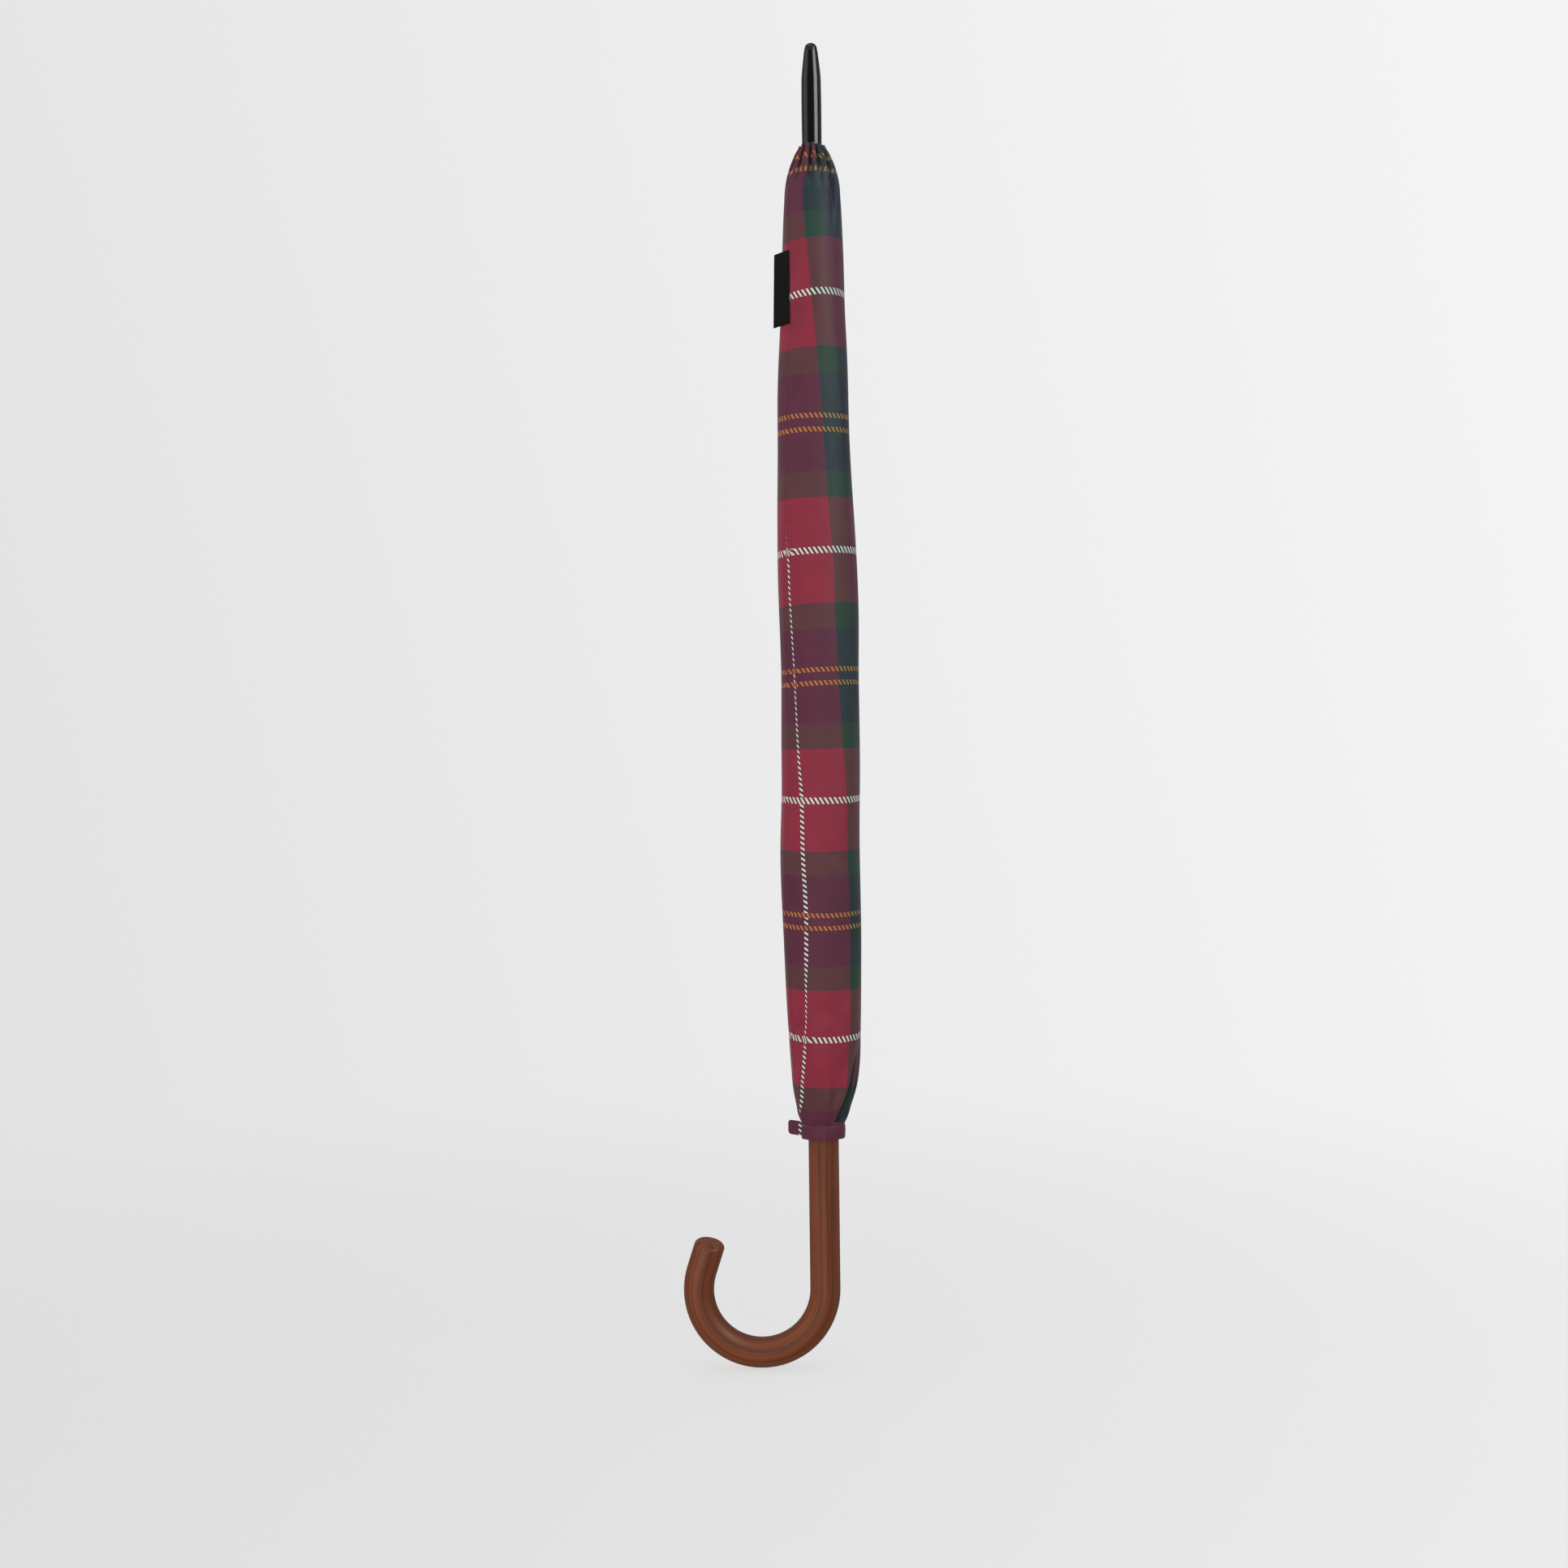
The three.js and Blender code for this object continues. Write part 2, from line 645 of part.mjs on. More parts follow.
add("tie_strap", makeStrap(), CANOPY_CLOTH);
add("tie_stud", makeStrapStud(), BRIGHT_STEEL);
add("carry_sleeve", makeSleeve(), SLEEVE_CLOTH_RED);
add("sleeve_hem", makeHem(), HEM_CLOTH);
add("sleeve_tab", makeTab(), HEM_CLOTH);
add("sleeve_label", makeLabel(), LABEL_CLOTH);

export default umbrella;
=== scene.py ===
"""The looks of the stick umbrella: a wooden crook handle, a black ferrule, a tartan carry sleeve with its
hem, tab and label, and the folded tartan canopy inside it. Metres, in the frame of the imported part: +Z runs
up the shaft, the crook turns towards -X and the front faces -Y."""

import json
import math

import bpy
import numpy as np
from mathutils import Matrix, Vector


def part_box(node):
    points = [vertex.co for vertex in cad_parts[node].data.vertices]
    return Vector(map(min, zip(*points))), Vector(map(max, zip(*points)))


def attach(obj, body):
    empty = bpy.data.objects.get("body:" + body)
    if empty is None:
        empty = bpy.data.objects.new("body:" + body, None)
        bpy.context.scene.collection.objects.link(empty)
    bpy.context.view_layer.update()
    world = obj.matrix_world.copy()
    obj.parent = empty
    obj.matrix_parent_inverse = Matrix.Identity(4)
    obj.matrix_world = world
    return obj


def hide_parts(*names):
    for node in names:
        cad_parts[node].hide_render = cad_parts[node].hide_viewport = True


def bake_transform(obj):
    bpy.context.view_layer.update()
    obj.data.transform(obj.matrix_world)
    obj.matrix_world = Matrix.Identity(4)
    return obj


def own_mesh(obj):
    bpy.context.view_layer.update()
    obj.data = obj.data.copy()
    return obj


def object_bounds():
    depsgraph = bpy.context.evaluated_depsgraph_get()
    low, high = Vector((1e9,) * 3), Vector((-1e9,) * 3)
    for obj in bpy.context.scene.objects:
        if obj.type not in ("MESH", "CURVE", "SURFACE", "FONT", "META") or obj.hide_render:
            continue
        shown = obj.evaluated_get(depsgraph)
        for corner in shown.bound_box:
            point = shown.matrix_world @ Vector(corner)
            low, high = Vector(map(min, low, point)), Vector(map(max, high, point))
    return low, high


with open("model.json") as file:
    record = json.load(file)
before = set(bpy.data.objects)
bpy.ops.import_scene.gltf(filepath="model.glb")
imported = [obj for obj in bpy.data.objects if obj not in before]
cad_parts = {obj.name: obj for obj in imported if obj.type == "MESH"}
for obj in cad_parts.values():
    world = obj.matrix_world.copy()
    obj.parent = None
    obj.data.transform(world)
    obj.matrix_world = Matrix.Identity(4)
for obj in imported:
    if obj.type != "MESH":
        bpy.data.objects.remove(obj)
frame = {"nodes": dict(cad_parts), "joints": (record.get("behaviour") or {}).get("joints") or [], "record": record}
cad_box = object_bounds()

MM = 0.001
TURN = 2 * math.pi

# ---- camera, stage and light

CAMERA_DISTANCE = 1.5
VIEW_SIDE = 1.067  # side of the square seen at the shaft's distance
VIEW_CENTRE = (-0.0241, 0.2895)  # x and z at the middle of the view
VIEW_ROLL = math.radians(0.68)
SENSOR_MM = 36
FLOOR_PALE = (0.95, 0.95, 0.95)
FLOOR_DARK = (0.91, 0.91, 0.91)
FLOOR_COVER = 0.22  # how much of the surround the floor hides at its middle
FLOOR_SIDES = 96
FLOOR_REACH = 1.5
FLOOR_GAP = 0.5 * MM  # between the crook and the floor
FLOOR_FADE_START = 0.12  # as a share of its reach
SEEN_LEVEL, SEEN_RIGHT, SEEN_UP = 0.835, 0.19, 0.05  # brightness of the surround to the camera
LIT_LEVEL, LIT_BACK, LIT_GLOSSY = 0.46, 0.28, 0.5  # and as a light, with its share in reflections


def add_object(name, data):
    thing = bpy.data.objects.new(name, data)
    bpy.context.scene.collection.objects.link(thing)
    return thing


def make_camera():
    data = bpy.data.cameras.new("camera")
    data.sensor_width = SENSOR_MM
    data.lens = SENSOR_MM * CAMERA_DISTANCE / VIEW_SIDE
    camera = add_object("camera", data)
    camera.location = (VIEW_CENTRE[0], -CAMERA_DISTANCE, VIEW_CENTRE[1])
    camera.rotation_euler = (math.pi / 2, VIEW_ROLL, 0)
    bpy.context.scene.camera = camera


def softbox(name, place, aim, width, height, radiance, diffuse=True):
    """A rectangular lamp that faces aim. Without diffuse it only shows in reflections."""
    data = bpy.data.lights.new(name, "AREA")
    data.shape = "RECTANGLE"
    data.size = width
    data.size_y = height
    data.energy = radiance * math.pi * width * height
    lamp = add_object(name, data)
    lamp.location = place
    direction = lamp.location.copy()
    direction[:] = [a - p for a, p in zip(aim, place)]
    lamp.rotation_euler = direction.to_track_quat("-Z", "Y").to_euler()
    lamp.visible_diffuse = diffuse


def make_lights():
    softbox("front_light", (-0.55, -1.9, 0.1), (0, 0, 0.2), 2.5, 1.3, 1.8)
    softbox("right_light", (1.5, -1.1, 0.9), (0, 0, 0.4), 1.0, 1.5, 0.5)
    softbox("right_gloss", (1.3, -1.0, 1.4), (0, 0, 0.7), 1.15, 1.1, 6.3, diffuse=False)
    softbox("left_gloss", (-1.7, -0.5, 1.35), (0, 0, 0.7), 1.5, 1.2, 1.0, diffuse=False)
    softbox("top_light", (-0.3, -0.5, 2.2), (0, 0, 0.4), 1.6, 1.6, 1.0)


def make_world():
    """A pale surround, a little brighter to the right, that lights the object more from behind."""
    world = bpy.data.worlds.new("studio")
    bpy.context.scene.world = world
    world.use_nodes = True
    graph = Graph(world.node_tree)
    direction = graph.node("ShaderNodeTexCoord").outputs["Generated"]
    split = graph.node("ShaderNodeSeparateXYZ", Vector=direction).outputs
    seen = graph.math("MULTIPLY_ADD", split["X"], SEEN_RIGHT, SEEN_LEVEL)
    seen = graph.math("MULTIPLY_ADD", split["Z"], SEEN_UP, seen)
    lit = graph.math("MULTIPLY_ADD", split["Y"], LIT_BACK, LIT_LEVEL)
    path = graph.node("ShaderNodeLightPath").outputs
    lit = graph.mix_number(path["Is Glossy Ray"], lit, graph.math("MULTIPLY", lit, LIT_GLOSSY))
    strength = graph.mix_number(path["Is Camera Ray"], lit, seen)
    background = world.node_tree.nodes["Background"]
    background.inputs["Color"].default_value = (1.0, 1.0, 1.0, 1)
    graph.link(strength, background.inputs["Strength"])


def make_floor():
    """A pale disc under the crook that fades out into the surround."""
    z = cad_box[0].z - FLOOR_GAP
    turns = [k * TURN / FLOOR_SIDES for k in range(FLOOR_SIDES)]
    corners = [(FLOOR_REACH * math.cos(a), FLOOR_REACH * math.sin(a), z) for a in turns]
    mesh = bpy.data.meshes.new("floor")
    mesh.from_pydata(corners, [], [tuple(range(FLOOR_SIDES))])
    floor = add_object("floor", mesh)
    floor.visible_diffuse = floor.visible_glossy = floor.visible_shadow = False
    paint = Finish("pale_floor", Roughness=0.9, Specular_IOR_Level=0.2)
    grey = paint.noise(14, detail=2)
    paint.colour(paint.ramp(grey, [(0, FLOOR_DARK), (1, FLOOR_PALE)]))
    place = paint.node("ShaderNodeTexCoord").outputs["Object"]
    radius = paint.node("ShaderNodeVectorMath", {"operation": "LENGTH"})
    paint.link(place, radius.inputs[0])
    share = paint.math("DIVIDE", radius.outputs["Value"], FLOOR_REACH)
    fade = paint.node("ShaderNodeMapRange", {"interpolation_type": "SMOOTHSTEP"}, Value=share)
    fade.inputs["From Min"].default_value = FLOOR_FADE_START
    fade.inputs["To Min"].default_value = FLOOR_COVER
    fade.inputs["To Max"].default_value = 0.0
    paint.link(fade.outputs[0], paint.shader.inputs["Alpha"])
    floor.data.materials.append(paint.material)


# ---- node graphs


def rgba(colour):
    return (*colour, 1.0)


def from_srgb(text):
    """The linear colour of a six-digit hexadecimal one."""
    parts = [int(text[i : i + 2], 16) / 255 for i in (0, 2, 4)]
    return tuple(c / 12.92 if c <= 0.04045 else ((c + 0.055) / 1.055) ** 2.4 for c in parts)


class Graph:
    """Adds nodes to a node tree. Inputs are numbers, colours or the sockets of other nodes."""

    def __init__(self, tree):
        self.tree = tree

    def link(self, source, socket):
        if isinstance(source, bpy.types.NodeSocket):
            self.tree.links.new(source, socket)
        else:
            socket.default_value = source

    def node(self, kind, settings=None, **inputs):
        made = self.tree.nodes.new(kind)
        for name, value in (settings or {}).items():
            setattr(made, name, value)
        for name, value in inputs.items():
            self.link(value, made.inputs[name.replace("_", " ")])
        return made

    def math(self, operation, *values):
        made = self.tree.nodes.new("ShaderNodeMath")
        made.operation = operation
        for value, socket in zip(values, made.inputs):
            self.link(value, socket)
        return made.outputs[0]

    def mix_number(self, share, a, b):
        """a where share is 0, and b where it is 1."""
        difference = self.math("SUBTRACT", b, a)
        return self.math("MULTIPLY_ADD", difference, share, a)

    def mix(self, share, a, b):
        """Colour a where share is 0, and b where it is 1."""
        made = self.tree.nodes.new("ShaderNodeMix")
        made.data_type = "RGBA"
        self.link(share, made.inputs["Factor"])
        self.link(a, made.inputs[6])
        self.link(b, made.inputs[7])
        return made.outputs[2]

    def ramp(self, share, stops, steps=False):
        """A colour ramp through (place, colour) stops, smooth or in flat steps."""
        made = self.tree.nodes.new("ShaderNodeValToRGB")
        made.color_ramp.interpolation = "CONSTANT" if steps else "LINEAR"
        elements = made.color_ramp.elements
        elements[0].position, elements[0].color = stops[0][0], rgba(stops[0][1])
        elements.remove(elements[1])
        for place, colour in stops[1:]:
            elements.new(place).color = rgba(colour)
        self.link(share, made.inputs["Fac"])
        return made.outputs["Color"]

    def product(self, a, b):
        """Two colours multiplied."""
        made = self.node("ShaderNodeVectorMath", {"operation": "MULTIPLY"})
        self.link(a, made.inputs[0])
        self.link(b, made.inputs[1])
        return made.outputs[0]

    def scaled(self, vector, scale):
        return self.node("ShaderNodeMapping", Vector=vector, Scale=scale).outputs[0]

    def noise(self, scale, vector=None, detail=4, roughness=0.5):
        """Noise from about 0 to 1. With no vector it lies in the object's own space."""
        if vector is None:
            vector = self.node("ShaderNodeTexCoord").outputs["Object"]
        inputs = {"Vector": vector, "Scale": scale, "Detail": detail, "Roughness": roughness}
        return self.node("ShaderNodeTexNoise", **inputs).outputs["Fac"]

    def uv(self):
        return self.node("ShaderNodeTexCoord").outputs["UV"]


class Finish(Graph):
    """A Principled material, built up by short calls."""

    def __init__(self, name, **sockets):
        self.material = bpy.data.materials.new(name)
        self.material.use_nodes = True
        super().__init__(self.material.node_tree)
        self.shader = self.tree.nodes["Principled BSDF"]
        for socket, value in sockets.items():
            self.shader.inputs[socket.replace("_", " ")].default_value = value

    def colour(self, source):
        self.link(source, self.shader.inputs["Base Color"])

    def roughness(self, source, low, high):
        """Roughness from low to high as source goes from 0 to 1."""
        value = self.math("MULTIPLY_ADD", source, high - low, low)
        self.link(value, self.shader.inputs["Roughness"])

    def bump(self, height, depth, strength):
        made = self.node("ShaderNodeBump", Strength=strength, Distance=depth, Height=height)
        before = self.shader.inputs["Normal"]
        if before.is_linked:
            self.link(before.links[0].from_socket, made.inputs["Normal"])
        self.link(made.outputs[0], before)


# ---- materials

# The ground colours are display values, blended before they are made linear: where warp and weft differ the blend
# comes out darker, painted shade between the threads.
RED = (0.61, 0.175, 0.26)
GREEN = (0.155, 0.29, 0.24)
NAVY = (0.16, 0.185, 0.275)
DISPLAY_GAMMA = 2.2
WHITE = from_srgb("efe9e4")
YELLOW = from_srgb("d09c4c")
PAINTED_GAP_SHADE = (0.004, 0.003, 0.004)  # painted shade in the gaps between floats
GAP_SHADE_SHARE, UPRIGHT_GAP_SHADE_SHARE = 0.45, 0.6  # how far the painted shade darkens the ground in a crossing and a lengthwise line
YELLOW_TINT = 0.35  # how much of the ground shows in a yellow crossing float
TWILL_CONTRAST, FLOAT_CONTRAST, UPRIGHT_LEVEL = 0.3, 3.0, 0.3
SHADE_LOW, SHADE_SPAN = 0.82, 0.36  # the cloth's least brightness, and how much it varies
CREASE_PAINTED_SHADE = 0.88  # how much darker the painted shade makes the deepest crease
CLOTH_ROUGHNESS = (0.6 - 0.08, 0.6 + 0.08)
THREAD_SCALE = (2600, 900, 1)
WEFT_PITCH = 168 * MM  # from one white line to the next along the cloth
WARP_PITCH = 172 * MM  # and across it
TWILL = 1.25 * MM  # spacing of the diagonal ribs
FLOAT = 3.3 * MM  # spacing of the long floats in the crossing white and yellow lines
FLOAT_SLOPE = 0.55  # how far a float in a crossing line runs sideways for its height
UPRIGHT_FLOAT = 3.7 * MM  # the same for the lengthwise lines
UPRIGHT_SLOPE = 0.6
WHITE_HALF = 2.2 * MM  # half the width of a white crossing line
WHITE_HALF_UPRIGHT = 1.4 * MM  # and of a lengthwise one
YELLOW_HALF = 1.6 * MM
YELLOW_OFF = 4.5 * MM  # from the middle of the navy band to each yellow line
# Where green and then navy start, in metres from a white line.
WEFT_BANDS = (35 * MM, 52 * MM)
WARP_BANDS = (32 * MM, 47 * MM)


class Stripes:
    """One thread system of the check: its ground colour, its lines, and where the lines are."""

    def __init__(self, graph, place, pitch, bands, white_half):
        turned = graph.math("FRACT", graph.math("MULTIPLY_ADD", place, 1 / pitch, 0.5))
        off = graph.math("ABSOLUTE", graph.math("SUBTRACT", turned, 0.5))
        stops = [(0.0, RED), (2 * bands[0] / pitch, GREEN), (2 * bands[1] / pitch, NAVY)]
        self.ground = graph.ramp(graph.math("MULTIPLY", off, 2), stops, True)
        off = graph.math("MULTIPLY", off, pitch)
        beside = graph.math("ABSOLUTE", graph.math("SUBTRACT", pitch / 2, off))
        from_yellow = graph.math("ABSOLUTE", graph.math("SUBTRACT", beside, YELLOW_OFF))
        self.white = graph.math("LESS_THAN", off, white_half)
        self.line = graph.math("MAXIMUM", self.white, graph.math("LESS_THAN", from_yellow, YELLOW_HALF))
        self.colour = graph.mix(self.white, rgba(YELLOW), rgba(WHITE))


def ribbed(graph, diagonal, spacing, steepness, level=0.5):
    """Diagonal ribs, from 0 to 1."""
    wave = graph.math("SINE", graph.math("MULTIPLY", diagonal, TURN / spacing))
    lifted = graph.math("MULTIPLY_ADD", wave, steepness, level)
    return graph.math("MINIMUM", graph.math("MAXIMUM", lifted, 0.0), 1.0)


PAINTED_SHADE_ATTRIBUTE = "crease"  # the attribute of painted shade: how deep in a crease each point of the cloth lies


def tartan(name, brightness=1.0):
    """Checked twill. The ground shows both thread systems in turn, and the lines float over them."""
    cloth = Finish(name, Sheen_Weight=0.12, Sheen_Roughness=0.4, Specular_IOR_Level=0.3)
    place = cloth.node("ShaderNodeSeparateXYZ", Vector=cloth.uv()).outputs
    across, along = place["X"], place["Y"]
    warp = Stripes(cloth, across, WARP_PITCH, WARP_BANDS, WHITE_HALF_UPRIGHT)
    weft = Stripes(cloth, along, WEFT_PITCH, WEFT_BANDS, WHITE_HALF)
    diagonal = cloth.math("SUBTRACT", across, along)
    fine = ribbed(cloth, diagonal, TWILL, TWILL_CONTRAST)
    # Blending display values darkens the twill where warp and weft differ: painted shade between the threads.
    blended = cloth.mix(fine, weft.ground, warp.ground)
    woven = cloth.node("ShaderNodeGamma", Color=blended, Gamma=DISPLAY_GAMMA).outputs[0]
    flat = cloth.math("SUBTRACT", cloth.math("MULTIPLY", across, UPRIGHT_SLOPE), along)
    floats = ribbed(cloth, flat, UPRIGHT_FLOAT, FLOAT_CONTRAST, UPRIGHT_LEVEL)
    upright = cloth.math("MULTIPLY", warp.line, floats)
    # Painted shade darkens the ground between the lengthwise floats.
    woven = cloth.mix(cloth.math("MULTIPLY", warp.line, UPRIGHT_GAP_SHADE_SHARE), woven, rgba(PAINTED_GAP_SHADE))
    woven = cloth.mix(upright, woven, warp.colour)
    below = cloth.node("ShaderNodeGamma", Color=warp.ground, Gamma=DISPLAY_GAMMA).outputs[0]
    tinted = cloth.mix(weft.white, cloth.mix(YELLOW_TINT, weft.colour, below), rgba(WHITE))
    # The ground under the crossing floats, darkened with painted shade.
    between = cloth.mix(GAP_SHADE_SHARE, below, rgba(PAINTED_GAP_SHADE))
    under = cloth.mix(weft.line, woven, between)
    steep = cloth.math("MULTIPLY_ADD", along, -FLOAT_SLOPE, across)
    crossing = cloth.math("MULTIPLY", weft.line, ribbed(cloth, steep, FLOAT, FLOAT_CONTRAST))
    woven = cloth.mix(crossing, under, tinted)
    worn = cloth.noise(60, vector=cloth.uv(), detail=5)
    shade = cloth.math("MULTIPLY_ADD", worn, SHADE_SPAN * brightness, SHADE_LOW * brightness)
    # Painted shade: the colour is darkened where the cloth lies deep in a crease.
    crease = cloth.node("ShaderNodeAttribute", {"attribute_name": PAINTED_SHADE_ATTRIBUTE}).outputs["Fac"]
    shade = cloth.math("MULTIPLY", shade, cloth.math("MULTIPLY_ADD", crease, -CREASE_PAINTED_SHADE, 1.0))
    tint = cloth.node("ShaderNodeCombineXYZ", X=shade, Y=shade, Z=shade).outputs[0]
    cloth.colour(cloth.product(woven, tint))
    cloth.roughness(worn, *CLOTH_ROUGHNESS)
    cloth.bump(fine, 0.1 * MM, 0.4)
    threads = cloth.noise(1.0, vector=cloth.scaled(cloth.uv(), THREAD_SCALE), detail=2)
    cloth.bump(threads, 0.1 * MM, 0.3)
    return cloth.material


# How often the wood's grain, pores and bands repeat round and along it.
GRAIN_SCALE, PORE_SCALE, BAND_SCALE = (420, 9, 1), (1500, 40, 1), (150, 3, 1)
WOOD_STAIN = [(0.25, "5a290f"), (0.46, "844524"), (0.6, "914e2d"), (0.8, "a05d3a")]
WOOD_BANDS = [(0.36, (0.66, 0.6, 0.55)), (0.62, (1, 1, 1))]


def lacquered_wood():
    """Stained wood under lacquer, its grain along the second UV axis."""
    wood = Finish("lacquered_wood", Coat_Weight=0.16, Coat_Roughness=0.45, Specular_IOR_Level=0.22)
    grain = wood.noise(1.0, vector=wood.scaled(wood.uv(), GRAIN_SCALE), detail=8, roughness=0.62)
    pores = wood.noise(1.0, vector=wood.scaled(wood.uv(), PORE_SCALE), detail=3)
    bands = wood.noise(1.0, vector=wood.scaled(wood.uv(), BAND_SCALE), detail=3)
    stain = wood.ramp(grain, [(place, from_srgb(text)) for place, text in WOOD_STAIN])
    wood.colour(wood.product(stain, wood.ramp(bands, WOOD_BANDS)))
    wood.roughness(pores, 0.4, 0.54)
    wood.bump(grain, 0.08 * MM, 0.25)
    wood.bump(pores, 0.04 * MM, 0.15)
    return wood.material


def hard_surface(name, colour, metallic, low, high, speckle=900):
    """Metal or plastic with a faintly uneven colour, gloss and surface."""
    finish = Finish(name, Metallic=metallic)
    spots = finish.noise(speckle, detail=3)
    clouds = finish.noise(55, detail=4)
    darker = tuple(0.8 * c for c in colour)
    finish.colour(finish.ramp(clouds, [(0.3, darker), (0.7, colour)]))
    finish.roughness(spots, low, high)
    finish.bump(spots, 0.02 * MM, 0.4)
    return finish.material


def ferrule_black():
    """Polished black plastic."""
    finish = Finish("ferrule_black", Specular_IOR_Level=0.42, Coat_Weight=0.1, Coat_Roughness=0.1)
    clouds = finish.noise(120, detail=3)
    finish.colour(finish.ramp(clouds, [(0.3, (0.0022, 0.0022, 0.0024)), (0.7, (0.004, 0.004, 0.0042))]))
    finish.roughness(clouds, 0.19, 0.21)
    return finish.material


def woven_label():
    """Black damask: fine close ribs, and nothing woven into it."""
    label = Finish("woven_label", Specular_IOR_Level=0.12)
    ribs = label.noise(1.0, vector=label.scaled(label.uv(), (900, 3800, 1)), detail=2)
    label.colour(label.ramp(ribs, [(0.3, (0.004, 0.004, 0.0045)), (0.7, (0.008, 0.008, 0.009))]))
    label.roughness(ribs, 0.55, 0.75)
    label.bump(ribs, 0.1 * MM, 0.5)
    return label.material


def thread(name, colour):
    """Sewing thread: twisted, a little shiny."""
    finish = Finish(name, Sheen_Weight=0.3)
    twist = finish.noise(3000, detail=2)
    finish.colour(finish.ramp(twist, [(0.3, tuple(0.7 * c for c in colour)), (0.7, colour)]))
    finish.roughness(twist, 0.4, 0.6)
    finish.bump(twist, 0.05 * MM, 0.5)
    return finish.material


# ---- mesh helpers


def add_mesh(name, points, faces, material):
    """A mesh object, shaded smooth."""
    mesh = bpy.data.meshes.new(name)
    mesh.from_pydata(points, [], faces)
    mesh.polygons.foreach_set("use_smooth", [True] * len(faces))
    mesh.materials.append(material)
    return add_object(name, mesh)


def grid_mesh(name, points, uv, material, around=False, flip=False):
    """A mesh of quads over rows and columns of points. Around joins the last column to the first;
    uv then has one column more than points."""
    rows, columns = points.shape[:2]
    spans = columns if around else columns - 1
    faces, corners = [], []
    for r in range(rows - 1):
        for c in range(spans):
            n = (c + 1) % columns
            face = [r * columns + c, r * columns + n, (r + 1) * columns + n, (r + 1) * columns + c]
            corner = [uv[r, c], uv[r, c + 1], uv[r + 1, c + 1], uv[r + 1, c]]
            faces.append(face[::-1] if flip else face)
            corners.extend(corner[::-1] if flip else corner)
    piece = add_mesh(name, points.reshape(-1, 3).tolist(), faces, material)
    layer = piece.data.uv_layers.new(name="cloth")
    layer.data.foreach_set("uv", np.array(corners, np.float32).ravel())
    return piece


def eased(points, x):
    """A smooth curve through (place, value) points, read at x. It is level past the ends."""
    at = np.array([p[0] for p in points], float)
    value = np.array([p[1] for p in points], float)
    slope = np.gradient(value, at)
    x = np.clip(x, at[0], at[-1])
    k = np.clip(np.searchsorted(at, x, side="right") - 1, 0, len(at) - 2)
    step = at[k + 1] - at[k]
    t = (x - at[k]) / step
    return (
        value[k] * (1 + 2 * t) * (1 - t) ** 2
        + value[k + 1] * t * t * (3 - 2 * t)
        + step * (slope[k] * t * (1 - t) ** 2 - slope[k + 1] * t * t * (1 - t))
    )


def unit(vector):
    return vector / np.linalg.norm(vector)


def smooth_step(low, high, x):
    t = np.clip((x - low) / (high - low), 0, 1)
    return t * t * (3 - 2 * t)


def solidify(piece, thickness):
    """Gives a cloth its thickness, inwards from its outer face."""
    made = piece.modifiers.new("thickness", "SOLIDIFY")
    made.thickness = thickness
    made.offset = -1.0


# ---- handle

GRIP_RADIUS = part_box("handle")[1].x
GRIP_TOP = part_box("handle")[1].z
CROOK_RADIUS = 43 * MM  # of the crook's centre line
CROOK_CENTRE_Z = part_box("handle")[0].z + GRIP_RADIUS + CROOK_RADIUS
CROOK_TURN = math.radians(198)
CROOK_END_Z = CROOK_CENTRE_Z + 32.3 * MM
END_TILT = math.radians(12)  # how far the cut end leans towards the front
END_LEAN = math.radians(13)  # and towards the grip
END_ROUND = 3.2 * MM
END_DOME = 0.35 * MM
END_GRAIN = 6 * MM  # how far the grain runs on over the end face
END_TURN = 16 * MM  # the length over which the crook's rings turn to the cut
HANDLE_SIDES = 96
GRIP_RINGS, CROOK_RINGS = 30, 90
GRIP_EDGE, GRIP_EDGE_DEPTH = 0.06, 4 * MM  # the grip's top is this share thinner, over this depth


def crook_path():
    """Points and directions down the grip, round the crook and up its short straight end."""
    rise = CROOK_END_Z - CROOK_CENTRE_Z + CROOK_RADIUS * math.sin(CROOK_TURN)
    tail = rise / -math.cos(CROOK_TURN)
    straight = GRIP_TOP - CROOK_CENTRE_Z
    total = straight + CROOK_RADIUS * CROOK_TURN + tail
    grip = np.linspace(0, straight, GRIP_RINGS)
    for along in [*grip, *np.linspace(straight, total, CROOK_RINGS)[1:]]:
        past = max(along - straight, 0)
        turn = min(past / CROOK_RADIUS, CROOK_TURN)
        rest = past - turn * CROOK_RADIUS
        x = CROOK_RADIUS * (math.cos(turn) - 1) - rest * math.sin(turn)
        z = CROOK_CENTRE_Z - CROOK_RADIUS * math.sin(turn) - rest * math.cos(turn)
        z = GRIP_TOP - along if along < straight else z
        yield along, total, np.array([x, 0, z]), np.array([-math.sin(turn), 0, -math.cos(turn)])


